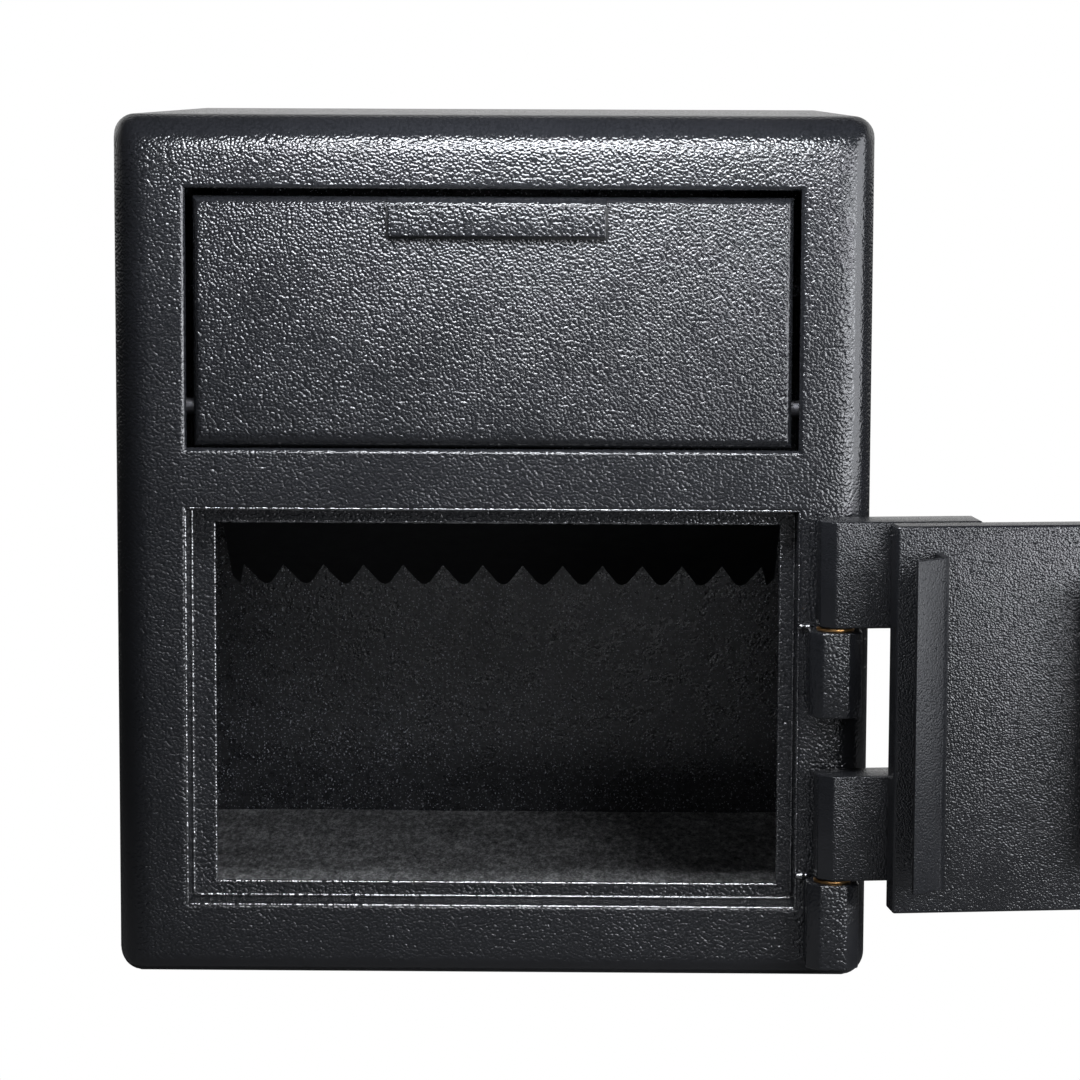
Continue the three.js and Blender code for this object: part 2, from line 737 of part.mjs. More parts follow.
// Boltwork: places along the door, shut, with the bolts drawn in
const boltTipX = -openingHalf + doorGapFree + boltTipInset;
const guideX = boltTipX + boltTipProud;
const guideInner = guideX + guideSheet;
const headStart = guideInner + boltThrow + runGap;
const headX = [headStart, headStart + headBlockWidth];
const boltY = doorInY + boltStandoff;
const boltSpread = (boltCount - 1) * boltPitch;
const boltZs = Array.from({ length: boltCount }, (_, i) => doorMidZ - boltSpread / 2 + i * boltPitch);
const headZ = [boltZs[0] - headMargin, boltZs[boltCount - 1] + headMargin];
const coverTopY = seatY + coverDepth;
const coverZ = [headZ[0] - coverMargin, headZ[1] + coverMargin];

function boltGuide() {
  const upright = box([guideX, guideInner], [seatY, coverTopY], coverZ);
  const footZ = [coverZ[0] + coverSheet + fitGap, coverZ[1] - coverSheet - fitGap];
  const foot = box([guideX, guideX + guideFoot], [seatY, seatY + guideSheet], footZ);
  const ends = [guideX - cutOverrun, guideInner + cutOverrun];
  const holes = boltZs.map((z) => bar('x', [boltY, z], ends, boltRadius + fitGap));
  return cut(upright.add(foot), holes);
}

function lockingBolt(z) {
  const shank = bar('x', [boltY, z], [boltTipX, headX[0] - fitGap], boltRadius);
  const tenon = bar('x', [boltY, z], [boltTipX, headX[1]], boltTenonRadius);
  return shank.add(tenon);
}

// Crank pin: it starts half a turn's swing to one side of upright and ends as far to the other
const halfSwing = THREE.MathUtils.degToRad(handleTurnDegrees / 2);
const crankRadius = boltThrow / 2 / Math.sin(halfSwing);
const crankPinX = handleX + crankRadius * Math.sin(halfSwing);
const crankPinLow = handleZ + crankRadius * Math.cos(halfSwing);
const crankPinHigh = handleZ + crankRadius;
const webY = [doorInY + carriageStandoff, doorInY + carriageStandoff + carriageSheet];
const lockTop = dialZ + lockCaseAbove;
const lockBoltX = dialX - lockBoltShift;
const lockTabX = [
  lockBoltX + lockBoltWidth / 2 + 2 * runGap,
  lockBoltX + boltThrow - lockBoltWidth / 2 - runGap,
];
const armBottom = lockTop + lockBoltThrow + 2 * runGap;
const armTop = armBottom + carriageArmHeight;
const webRight = crankPinX + boltThrow + crankPinRadius;
const postSlotX = headX[1] + postRadius + carriageSheet;
const postZs = [headZ[0] + headMargin, boltZs[boltCount - 1] - postInset];

function slot(x, z, radius, y) {
  return joined([
    box(x, y, [z - radius, z + radius]),
    bar('y', [x[0], z], y, radius),
    bar('y', [x[1], z], y, radius),
  ]);
}

function boltCarriage() {
  const cutY = [webY[0] - cutOverrun, webY[1] + cutOverrun];
  const head = box(headX, [webY[0], boltY + boltRadius], headZ);
  const web = box([headX[0], webRight], webY, headZ);
  const arm = box([headX[0], lockTabX[1]], webY, [armBottom, armTop]);
  const tab = box(lockTabX, webY, [lockTop + 2 * runGap, armTop]);
  const pinRoom = crankPinRadius + runGap;
  const pinSlot = box([crankPinX - pinRoom, crankPinX + pinRoom], cutY,
    [crankPinLow - pinRoom, crankPinHigh + pinRoom]);
  const tenonEnds = [headX[0] - cutOverrun, headX[1] + cutOverrun];
  const tenonHoles = boltZs.map((z) => bar('x', [boltY, z], tenonEnds, boltTenonRadius + fitGap));
  const postWay = [postSlotX, postSlotX + boltThrow];
  const guideSlots = postZs.map((z) => slot(postWay, z, postRadius + runGap, cutY));
  return cut(joined([head, web, arm, tab]), [pinSlot, ...tenonHoles, ...guideSlots]);
}

// A shouldered post that the carriage slides on; its head holds the web down
function carriagePost(z) {
  const headY = [webY[1] + runGap, webY[1] + runGap + screwHeadHeight];
  return joined([
    bar('y', [postSlotX, z], [seatY, headY[1]], postRadius),
    bar('y', [postSlotX, z], [seatY, webY[0] - runGap], postRadius + postShoulder),
    bar('y', [postSlotX, z], headY, postRadius + postShoulder),
  ]);
}

// Handle outside the door: a rose, a hub with a winged grip, and a crank on the shaft's inner end
const roseY = [frontY - fitGap - roseThickness, frontY - fitGap];
const hubY = [roseY[0] - fitGap - handleHubHeight, roseY[0] - fitGap];

function handleRose() {
  const [outer, inner] = [roseRadius, handleShaftRadius + fitGap];
  return turnedAlongY([[inner, roseY[1]], [inner, roseY[0]], [outer - roseBevel, roseY[0]],
    [outer, roseY[0] + roseBevel], [outer, roseY[1]]], handleX, handleZ);
}

function handleGrip() {
  const hub = bar('y', [handleX, handleZ], hubY, handleHubRadius);
  const barY = [hubY[0] - handleBarDepth / 2, hubY[0] + handleBarDepth / 2];
  const wingReach = (handleSpan - handleBarWidth) / 2;
  const wings = slot([handleX - wingReach, handleX + wingReach], handleZ, handleBarWidth / 2, barY);
  const bore = bar('y', [handleX, handleZ], [hubY[0], hubY[1] + cutOverrun], handleShaftRadius + fitGap);
  return hub.add(wings).subtract(bore);
}

const crankY = [doorInY + runGap, doorInY + runGap + crankSheet];

function handleShaft() {
  return bar('y', [handleX, handleZ], [hubY[0] + fitGap, crankY[1]], handleShaftRadius);
}

// A flat arm from the shaft to the pin that runs in the carriage's slot
function handleCrank() {
  const hub = [handleX, handleZ];
  const pin = [crankPinX, crankPinLow];
  const eyeRadius = crankPinRadius + crankEyeWall;
  const along = new THREE.Vector2(pin[0] - hub[0], pin[1] - hub[1]).setLength(eyeRadius);
  const outline = [
    [hub[0] - along.y, hub[1] + along.x], [hub[0] + along.y, hub[1] - along.x],
    [pin[0] + along.y, pin[1] - along.x], [pin[0] - along.y, pin[1] + along.x],
  ];
  const boreEnds = [crankY[0] - cutOverrun, crankY[1] + cutOverrun];
  return joined([
    prism('y', outline, crankY),
    bar('y', hub, crankY, handleShaftRadius + crankHubWall),
    bar('y', pin, crankY, eyeRadius),
    bar('y', pin, [crankY[0], webY[1] + runGap], crankPinRadius),
  ]).subtract(bar('y', hub, boreEnds, handleShaftRadius + fitGap));
}

addNode(door, 'door_plate', doorPlate(), 'coat');
addNode(door, 'dead_bar', deadBar(), 'coat');
addNode(door, 'bolt_guide', boltGuide(), 'zinc');
postZs.forEach((z, i) => addNode(door, `carriage_post_${i + 1}`, carriagePost(z), 'steel'));
addNode(door, 'bolt_carriage', boltCarriage(), 'zinc');
boltZs.forEach((z, i) => addNode(door, `locking_bolt_${i + 1}`, lockingBolt(z), 'steel'));
addNode(door, 'handle_rose', handleRose(), 'chrome');
addNode(door, 'handle_grip', handleGrip(), 'chrome');
addNode(door, 'handle_shaft', handleShaft(), 'steel');
addNode(door, 'handle_crank', handleCrank(), 'zinc');

// Combination lock: an open case on the door with a cover, a wheel pack, a drive cam and a bolt
const caseX = [dialX - lockCaseWidth / 2, dialX + lockCaseWidth / 2];
const caseZ = [dialZ - lockCaseBelow, lockTop];
const caseY = [seatY, seatY + lockCaseDepth];
const lockBoltY = [seatY + lockBoltInset, seatY + lockBoltInset + lockBoltDepth];
const lockBoltHalf = lockBoltWidth / 2;
const bossInset = screwHeadRadius + fitGap;
const bossPlaces = [
  [caseX[0] + bossInset, caseZ[0] + bossInset],
  [caseX[1] - bossInset, caseZ[1] - bossInset],
];

function lockCase() {
  const wall = lockCaseWall;
  const outer = box(caseX, caseY, caseZ);
  const hollow = box([caseX[0] + wall, caseX[1] - wall], [caseY[0] + wall, caseY[1] + cutOverrun],
    [caseZ[0] + wall, caseZ[1] - wall]);
  const bosses = bossPlaces.map((place) => bar('y', place, caseY, screwHeadRadius));
  const boltWay = box([lockBoltX - lockBoltHalf - fitGap, lockBoltX + lockBoltHalf + fitGap],
    [lockBoltY[0] - fitGap, lockBoltY[1] + fitGap], [caseZ[1] - wall - cutOverrun, caseZ[1] + cutOverrun]);
  const holeEnds = [caseY[0] - cutOverrun, caseY[1] + cutOverrun];
  const shell = joined([outer.subtract(hollow), ...bosses]);
  return cut(shell, [
    boltWay,
    bar('y', [dialX, dialZ], holeEnds, spindleRadius + runGap),
    ...bossPlaces.map((place) => bar('y', place, holeEnds, screwRadius + fitGap)),
  ]);
}

const lockCoverY = [caseY[1] + fitGap, caseY[1] + fitGap + lockCoverSheet];

function lockCover() {
  const holeEnds = [lockCoverY[0] - cutOverrun, lockCoverY[1] + cutOverrun];
  const holes = bossPlaces.map((place) => bar('y', place, holeEnds, screwRadius + fitGap));
  return cut(box(caseX, lockCoverY, caseZ), holes);
}

function lockScrew(place) {
  const headBase = lockCoverY[1] + fitGap;
  const headY = [headBase, headBase + caseScrewHeadHeight];
  const shank = bar('y', place, [caseY[0] + lockCaseWall, headY[1]], screwRadius);
  return shank.add(bar('y', place, headY, screwHeadRadius));
}

const firstWheelY = caseY[0] + lockCaseWall + wheelSetback;
const camY = firstWheelY + wheelCount * wheelPitch + runGap;

// The wheels ride on a tube that stands in the case round the spindle
function wheelPost() {
  const ends = [caseY[0] + lockCaseWall + fitGap, camY - runGap];
  const inner = spindleRadius + runGap;
  return turnedAlongY([[inner, ends[1]], [inner, ends[0]], [wheelPostRadius, ends[0]],
    [wheelPostRadius, ends[1]]], dialX, dialZ);
}

// A round disc on the dial's axis with a bore and one gate in its rim
function gatedDisc(y, radius, boreRadius) {
  const cutY = [y[0] - cutOverrun, y[1] + cutOverrun];
  const gate = box([dialX - gateWidth / 2, dialX + gateWidth / 2], cutY,
    [dialZ + radius - gateDepth, dialZ + radius + cutOverrun]);
  return cut(bar('y', [dialX, dialZ], y, radius), [bar('y', [dialX, dialZ], cutY, boreRadius), gate]);
}

function lockWheel(index) {
  const start = firstWheelY + index * wheelPitch;
  return gatedDisc([start, start + wheelThickness], wheelRadius, wheelPostRadius + fitGap);
}

function driveCam() {
  return gatedDisc([camY, camY + driveCamThickness], driveCamRadius, spindleRadius + fitGap);
}

function lockBolt() {
  const low = dialZ + wheelRadius + 2 * runGap;
  return box([lockBoltX - lockBoltHalf, lockBoltX + lockBoltHalf], lockBoltY, [low, lockTop]);
}

// The lever is on the bolt's inner face and its foot hangs just above the wheels
function lockLever() {
  const low = dialZ + wheelRadius + runGap;
  const start = lockBoltY[1] + fitGap;
  const half = lockLeverWidth / 2;
  const y = [start, start + wheelThickness];
  return box([lockBoltX - half, lockBoltX + half], y, [low, lockTop - lockLeverDrop]);
}

const dialRingY = [frontY - fitGap - dialRingDepth, frontY - fitGap];
const dialBackY = dialRingY[1] - dialFloat;

function dialRing() {
  const [inner, outer] = [dialRadius + runGap, dialRingOuter];
  return turnedAlongY([[inner, dialRingY[1]], [inner, dialRingY[0]], [outer - dialRingBevel, dialRingY[0]],
    [outer, dialRingY[0] + dialRingBevel], [outer, dialRingY[1]]], dialX, dialZ);
}

function dialKnob() {
  const centre = [dialX, dialZ];
  const socket = [dialBackY - dialSocketDepth, dialBackY + cutOverrun];
  return joined([
    bar('y', centre, [dialRingY[0], dialBackY], dialRadius),
    bar('y', centre, [dialRingY[0] - dialKnobHeight, dialBackY], dialKnobRadius),
  ]).subtract(bar('y', centre, socket, spindleRadius + fitGap));
}

function dialSpindle() {
  const ends = [dialBackY - dialSocketDepth + fitGap, camY + driveCamThickness + runGap];
  return bar('y', [dialX, dialZ], ends, spindleRadius);
}

addNode(door, 'lock_case', lockCase(), 'zinc');
addNode(door, 'lock_cover', lockCover(), 'zinc');
bossPlaces.forEach((place, i) => addNode(door, `lock_screw_${i + 1}`, lockScrew(place), 'steel'));
addNode(door, 'wheel_post', wheelPost(), 'brass');
for (let i = 0; i < wheelCount; i++) addNode(door, `lock_wheel_${i + 1}`, lockWheel(i), 'brass');
addNode(door, 'drive_cam', driveCam(), 'brass');
addNode(door, 'lock_bolt', lockBolt(), 'brass');
addNode(door, 'lock_lever', lockLever(), 'steel');
addNode(door, 'dial_ring', dialRing(), 'dialBlack');
addNode(door, 'dial_knob', dialKnob(), 'dialBlack');
addNode(door, 'dial_spindle', dialSpindle(), 'steel');

// Sheet cover over the boltwork, held by two screws into posts on the door
const coverX = [guideInner + fitGap, caseX[1] + 2 * coverSheet];
const coverPostSide = coverPostRadius + coverSheet + runGap;
const coverPostPlaces = [
  [headX[0], coverZ[0] + coverPostSide],
  [coverX[1] - coverPostSide, coverZ[1] - coverPostSide],
];
const coverY = [coverTopY - coverSheet, coverTopY];

function boltworkCover() {
  const outer = box(coverX, [seatY, coverY[1]], coverZ);
  const hollow = box([coverX[0] - cutOverrun, coverX[1] - coverSheet], [seatY - cutOverrun, coverY[0]],
    [coverZ[0] + coverSheet, coverZ[1] - coverSheet]);
  const holeEnds = [coverY[0] - cutOverrun, coverY[1] + cutOverrun];
  const holes = coverPostPlaces.map((place) => bar('y', place, holeEnds, screwRadius + fitGap));
  return cut(outer, [hollow, ...holes]);
}

function coverPost(place) {
  const ends = [seatY, coverY[0] - fitGap];
  const tapped = bar('y', place, [ends[1] - coverScrewDepth, ends[1] + cutOverrun], screwRadius + fitGap);
  return bar('y', place, ends, coverPostRadius).subtract(tapped);
}

function coverScrew(place) {
  const headY = [coverY[1] + fitGap, coverY[1] + fitGap + screwHeadHeight];
  const shank = bar('y', place, [coverY[0] - coverScrewDepth + fitGap, headY[1]], screwRadius);
  return shank.add(bar('y', place, headY, screwHeadRadius));
}

addNode(door, 'boltwork_cover', boltworkCover(), 'coat');
coverPostPlaces.forEach((place, i) => {
  addNode(door, `cover_post_${i + 1}`, coverPost(place), 'steel');
  addNode(door, `cover_screw_${i + 1}`, coverScrew(place), 'steel');
});

export default safe;
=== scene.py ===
import json
import math
import random
import bpy
import bmesh
from mathutils import Matrix, Vector


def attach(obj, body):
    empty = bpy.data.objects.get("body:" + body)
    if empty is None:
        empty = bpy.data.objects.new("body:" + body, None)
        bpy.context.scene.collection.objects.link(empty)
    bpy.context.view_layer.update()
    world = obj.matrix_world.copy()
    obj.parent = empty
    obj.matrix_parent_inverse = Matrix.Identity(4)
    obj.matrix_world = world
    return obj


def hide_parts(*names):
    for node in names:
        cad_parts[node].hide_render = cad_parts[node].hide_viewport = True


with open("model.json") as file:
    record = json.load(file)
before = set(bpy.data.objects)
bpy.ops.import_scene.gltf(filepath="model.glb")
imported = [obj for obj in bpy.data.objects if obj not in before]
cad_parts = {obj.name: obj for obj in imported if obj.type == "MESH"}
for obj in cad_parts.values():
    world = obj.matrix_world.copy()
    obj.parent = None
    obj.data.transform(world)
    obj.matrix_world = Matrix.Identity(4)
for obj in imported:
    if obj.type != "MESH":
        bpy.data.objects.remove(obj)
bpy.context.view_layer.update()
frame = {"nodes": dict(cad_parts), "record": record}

# Drop safe with a tilt-out hopper. Sizes in the dictionaries are millimetres, in the CAD frame.
mm = 0.001
onPlane = 0.02 * mm   # a corner this near a plane lies on it
overrun = 2           # how far a cutter reaches past what it cuts
fullTurn = 6.28       # radians, for the random phases


# Selecting and shaping

def clearSelection():
    if bpy.context.object and bpy.context.object.mode != "OBJECT":
        bpy.ops.object.mode_set(mode="OBJECT")
    bpy.ops.object.select_all(action="DESELECT")


def makeActive(piece):
    clearSelection()
    piece.select_set(True)
    bpy.context.view_layer.objects.active = piece


def settle(name):   # names the new primitive and puts its place in its mesh
    piece = bpy.context.object
    piece.name = piece.data.name = name
    bpy.ops.object.transform_apply(location=True, rotation=True, scale=True)
    return piece


def startCube(name, x, y, z):
    clearSelection()
    centre = [(low + high) / 2 * mm for low, high in (x, y, z)]
    size = [(high - low) * mm for low, high in (x, y, z)]
    bpy.ops.mesh.primitive_cube_add(size=1, location=centre, scale=size)
    return settle(name)


def startBar(name, axis, centre, ends, radius, corners=48):   # a round bar along one axis
    clearSelection()
    middle = (ends[0] + ends[1]) / 2
    places = {"x": (middle, *centre), "y": (centre[0], middle, centre[1]), "z": (*centre, middle)}
    turns = {"x": (0, math.pi / 2, 0), "y": (math.pi / 2, 0, 0), "z": (0, 0, 0)}
    bpy.ops.mesh.primitive_cylinder_add(
        vertices=corners, radius=radius * mm, depth=(ends[1] - ends[0]) * mm,
        location=[value * mm for value in places[axis]], rotation=turns[axis])
    return settle(name)


def pick(piece, kind, test):   # leaves the piece in edit mode with only what passes the test selected
    makeActive(piece)
    bpy.ops.object.mode_set(mode="EDIT")
    bpy.ops.mesh.select_mode(type={"edges": "EDGE", "faces": "FACE"}[kind])
    bpy.ops.mesh.select_all(action="DESELECT")
    mesh = bmesh.from_edit_mesh(piece.data)
    for item in getattr(mesh, kind):
        if test(item):
            item.select_set(True)
    mesh.select_flush_mode()
    bmesh.update_edit_mesh(piece.data)


def editDone():
    bpy.ops.object.mode_set(mode="OBJECT")


def within(item, axis, low, high):   # all corners of an edge or face lie between two planes
    places = [corner.co["xyz".index(axis)] for corner in item.verts]
    return all(low * mm - onPlane < place < high * mm + onPlane for place in places)


def lies(item, axis, *values):   # all its corners lie on one of the planes
    return any(within(item, axis, value, value) for value in values)


def bevelPicked(width, segments):
    bpy.ops.mesh.bevel(offset=width * mm, segments=segments, affect="EDGES")


def bevelEdges(piece, width, segments, test):
    pick(piece, "edges", test)
    bevelPicked(width, segments)
    editDone()


def extrudePicked(*shift):
    bpy.ops.mesh.extrude_region_move(TRANSFORM_OT_translate={"value": [value * mm for value in shift]})


def sinkPicked(rim, depth):   # insets the picked face of a turned piece and pushes it in
    bpy.ops.mesh.inset(thickness=rim * mm)
    extrudePicked(0, depth, 0)
    editDone()


def bevelSharp(piece, width, segments=3, angle=50):   # softens every corner that is sharper than the angle
    makeActive(piece)
    bpy.ops.object.mode_set(mode="EDIT")
    bpy.ops.mesh.select_mode(type="EDGE")
    bpy.ops.mesh.select_all(action="DESELECT")
    bpy.ops.mesh.edges_select_sharp(sharpness=math.radians(angle))
    bevelPicked(width, segments)
    editDone()


def weighEdges(piece, weights):   # weights is a list of (weight, test)
    pick(piece, "edges", lambda edge: False)
    mesh = bmesh.from_edit_mesh(piece.data)
    layer = mesh.edges.layers.float.get("bevel_weight_edge") or mesh.edges.layers.float.new("bevel_weight_edge")
    for edge in mesh.edges:
        for weight, test in weights:
            if test(edge):
                edge[layer] = weight
    bmesh.update_edit_mesh(piece.data)
    editDone()


def dropFaces(piece, test):
    pick(piece, "faces", test)
    bpy.ops.mesh.delete(type="FACE")
    editDone()


def addLoops(piece, axis, values):   # adds edge loops where flat planes cross the piece
    normal = [1.0 if letter == axis else 0.0 for letter in "xyz"]
    for value in values:
        pick(piece, "faces", lambda face: True)
        bpy.ops.mesh.bisect(plane_co=[part * value * mm for part in normal], plane_no=normal)
        editDone()


def modify(piece, kind, **settings):
    makeActive(piece)
    modifier = piece.modifiers.new(kind.title(), kind)
    for key, value in settings.items():
        setattr(modifier, key, value)
    bpy.ops.object.modifier_apply(modifier=modifier.name)


def cutWith(piece, tool):
    modify(piece, "BOOLEAN", operation="DIFFERENCE", object=tool, solver="EXACT")
    bpy.data.objects.remove(tool, do_unlink=True)


def drill(piece, axis, centre, ends, radius, corners=32):
    cutWith(piece, startBar("hole", axis, centre, (ends[0] - overrun, ends[1] + overrun), radius, corners))


def joinPieces(name, pieces):
    makeActive(pieces[0])
    for piece in pieces[1:]:
        piece.select_set(True)
    bpy.ops.object.join()
    joined = bpy.context.object
    joined.name = joined.data.name = name
    return joined


def tidyMesh(piece):   # merges doubles and turns every face outwards
    pick(piece, "faces", lambda face: True)
    bpy.ops.mesh.remove_doubles(threshold=1e-6)
    bpy.ops.mesh.normals_make_consistent(inside=False)
    editDone()


def copyPiece(piece, name, shift=(0, 0, 0)):
    twin = piece.copy()
    twin.data = piece.data.copy()
    twin.name = twin.data.name = name
    bpy.context.scene.collection.objects.link(twin)
    twin.data.transform(Matrix.Translation([value * mm for value in shift]))
    return twin


doorHinge = {"x": 160.5, "y": -190.3, "openDegrees": 187}
doorBodies = ("door", "boltwork", "bolt_handle", "dial", "lock_bolt", "wheel_1", "wheel_2", "wheel_3")


def swingOpen(piece):   # door pieces are drawn shut, then turned to where the photograph has them
    pivot = Vector((doorHinge["x"] * mm, doorHinge["y"] * mm, 0))
    turn = Matrix.Rotation(math.radians(doorHinge["openDegrees"]), 4, "Z")
    piece.data.transform(Matrix.Translation(pivot) @ turn @ Matrix.Translation(-pivot))


def dress(piece, body, slotName, nodes=(), angle=35, look=None, level=False):
    makeActive(piece)
    bpy.ops.object.shade_smooth_by_angle(angle=math.radians(angle))
    if level:   # keeps the shading of wide flat faces even
        modify(piece, "WEIGHTED_NORMAL", keep_sharp=True, weight=100)
    piece.data.materials.clear()
    piece.data.materials.append(look or looks[slotName])
    if body in doorBodies:
        swingOpen(piece)
    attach(piece, body)
    if nodes:
        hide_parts(*nodes)


# Materials

noiseRange = (0.3, 0.7)   # where most values of a noise texture lie


def startMaterial(name):
    material = bpy.data.materials.new(name)
    material.use_nodes = True
    tree = material.node_tree
    coords = tree.nodes.new("ShaderNodeTexCoord").outputs["Object"]
    return material, tree, tree.nodes["Principled BSDF"], coords


def addNode(tree, kind, values=None, **options):   # values are sockets by name or number, options are settings
    node = tree.nodes.new("ShaderNode" + kind)
    for key, value in options.items():
        setattr(node, key, value)
    for key, value in (values or {}).items():
        if isinstance(value, bpy.types.NodeSocket):
            tree.links.new(value, node.inputs[key])
        else:
            node.inputs[key].default_value = value
    return node


def noise(tree, coords, grain, detail=3, roughness=0.6):   # grain is the size of one patch in millimetres
    return addNode(tree, "TexNoise", {"Vector": coords, "Scale": 1 / (grain * mm), "Detail": detail,
                                      "Roughness": roughness}).outputs["Fac"]


def spread(tree, value, low, high, toLow=0.0, toHigh=1.0):
    return addNode(tree, "MapRange", {"Value": value, "From Min": low, "From Max": high, "To Min": toLow,
                                      "To Max": toHigh}).outputs["Result"]


def combine(tree, first, second, operation="ADD"):
    return addNode(tree, "Math", {0: first, 1: second}, operation=operation).outputs[0]


def scaled(tree, value, factor):
    return combine(tree, value, factor, "MULTIPLY")


def blend(tree, first, *others):   # each part is a value and its share
    total = scaled(tree, *first)
    for part in others:
        total = combine(tree, total, scaled(tree, *part))
    return total


def colours(tree, value, stops):
    ramp = addNode(tree, "ValToRGB", {"Fac": value})
    while len(ramp.color_ramp.elements) < len(stops):
        ramp.color_ramp.elements.new(0.5)
    for element, (place, colour) in zip(ramp.color_ramp.elements, stops):
        element.position = place
        element.color = (*colour, 1)
    return ramp.outputs["Color"]


def relief(tree, surface, height, depth):   # depth in millimetres
    bump = addNode(tree, "Bump", {"Height": height, "Distance": depth * mm, "Strength": 1.0})
    tree.links.new(bump.outputs["Normal"], surface.inputs["Normal"])


def flatness(tree, look):   # 1 on flat faces and less on bends, where the coat flows out smoother
    facing = addNode(tree, "SeparateXYZ", {0: addNode(tree, "TexCoord").outputs["Normal"]})
    x, y, z = (addNode(tree, "Math", {0: facing.outputs[axis]}, operation="ABSOLUTE").outputs[0]
               for axis in "XYZ")
    nearest = combine(tree, combine(tree, x, y, "MAXIMUM"), z, "MAXIMUM")
    return spread(tree, nearest, *look["bendRange"], look["bends"], 1.0)


# sizes in millimetres; bends is how much of the relief is left on them, shine and index are the surface's own
coatLook = {
    "dark": (0.0062, 0.0066, 0.0076), "light": (0.0105, 0.0110, 0.0126), "tonePlaces": (0.2, 0.85),
    "toneShares": (0.4, 0.6), "pebble": 1.35, "stirGrain": 1.6, "stirReach": 0.6, "softness": 0.5,
    "steepness": 1.55, "fine": 0.55, "fineShare": 0.35, "cloud": 34, "cloudDepth": (0.75, 1.1), "depth": 0.20,
    "bends": 0.3, "bendRange": (0.84, 0.97), "gloss": (0.13, 0.18), "glossGrain": 9, "shine": 0.5, "index": 1.5,
}


def powderCoat(name, look):   # pebbled powder coat: rounded grains with fine orange peel between them
    material, tree, surface, coords = startMaterial(name)
    pebble = look["pebble"] * mm
    stir = addNode(tree, "TexNoise", {"Vector": coords, "Scale": 1 / (pebble * look["stirGrain"]), "Detail": 2})
    stirred = addNode(tree, "VectorMath", {0: stir.outputs["Color"], 1: (pebble * look["stirReach"],) * 3},
                      operation="MULTIPLY")
    moved = addNode(tree, "VectorMath", {0: coords, 1: stirred.outputs["Vector"]}, operation="ADD")
    grains = addNode(tree, "TexVoronoi", {"Vector": moved.outputs["Vector"], "Scale": 1 / pebble,
                                          "Smoothness": look["softness"]}, feature="SMOOTH_F1")
    away = scaled(tree, grains.outputs["Distance"], look["steepness"])
    domes = combine(tree, 1.0, scaled(tree, away, away), "SUBTRACT")   # each grain is a round cap
    fine = noise(tree, coords, look["fine"])
    cloud = noise(tree, coords, look["cloud"], detail=2)
    height = combine(tree, domes, scaled(tree, fine, look["fineShare"]))
    uneven = scaled(tree, height, spread(tree, cloud, *noiseRange, *look["cloudDepth"]))
    relief(tree, surface, scaled(tree, uneven, flatness(tree, look)), look["depth"])
    tone = blend(tree, (domes, look["toneShares"][0]), (cloud, look["toneShares"][1]))
    stops = list(zip(look["tonePlaces"], (look["dark"], look["light"])))
    if "paintedGlints" in look:   # pale specks in the coat's colour: painted glints
        paintedGlints = noise(tree, coords, look["paintedGlints"], detail=1)
        tone = combine(tree, tone, spread(tree, paintedGlints, *look["paintedGlintRange"]))
        stops.append((1.0, look["paintedGlintColour"]))
    tree.links.new(colours(tree, tone, stops), surface.inputs["Base Color"])
    gloss = spread(tree, noise(tree, coords, look["glossGrain"]), *noiseRange, *look["gloss"])
    tree.links.new(gloss, surface.inputs["Roughness"])
    surface.inputs["Specular IOR Level"].default_value = look["shine"]
    surface.inputs["IOR"].default_value = look["index"]
    return material


hopperLook = {**coatLook, "depth": 0.27}
doorLook = {**coatLook, "pebble": 0.88, "fine": 0.4, "depth": 0.14, "gloss": (0.17, 0.22)}
# the inside coat's pale specks are painted glints
insideLook = {**coatLook, "dark": (0.0075, 0.008, 0.009), "light": (0.024, 0.0255, 0.029), "pebble": 1.6,
              "fine": 0.9, "cloud": 70, "depth": 0.06, "gloss": (0.24, 0.32), "shine": 0.62,
              "paintedGlints": 1.05, "paintedGlintRange": (0.61, 0.72), "paintedGlintColour": (0.34, 0.35, 0.38)}
# a darker copy of the inside coat: painted shade on the chute's underside and round the lip
paintedShadeLook = {**insideLook, "dark": (0.002, 0.002, 0.0024), "light": (0.003, 0.003, 0.0036),
             "paintedGlintColour": (0.006, 0.006, 0.007), "gloss": (0.5, 0.6), "shine": 0.3}
smoothLook = {**coatLook, "pebble": 0.85, "fine": 0.5, "cloud": 60, "depth": 0.10, "gloss": (0.26, 0.30),
              "bends": 1.0, "shine": 0.22}
beadLook = {**coatLook, "pebble": 2.0, "fine": 1.0, "depth": 0.16, "gloss": (0.10, 0.15), "shine": 1.0,
            "index": 1.8}

steelLook = {"dark": (0.42, 0.43, 0.45), "light": (0.62, 0.63, 0.65), "gloss": (0.22, 0.38), "stretch": (1, 1, 6),
             "grain": 0.25, "patch": 12, "toneShares": (0.6, 0.4), "depth": 0.02}
zincLook = {**steelLook, "dark": (0.42, 0.40, 0.33), "light": (0.60, 0.58, 0.48), "gloss": (0.3, 0.45),
            "stretch": (1, 1, 1), "grain": 1.2, "patch": 9}
brassLook = {**steelLook, "dark": (0.42, 0.22, 0.075), "light": (0.66, 0.38, 0.15), "gloss": (0.28, 0.42),
             "stretch": (1, 1, 8)}
chromeLook = {**steelLook, "dark": (0.70, 0.71, 0.73), "light": (0.80, 0.81, 0.83), "gloss": (0.05, 0.11),
              "stretch": (1, 1, 1), "grain": 2, "patch": 20}
darkSteelLook = {**steelLook, "dark": (0.07, 0.07, 0.075), "light": (0.12, 0.12, 0.13), "gloss": (0.45, 0.6),
                 "stretch": (6, 1, 1)}


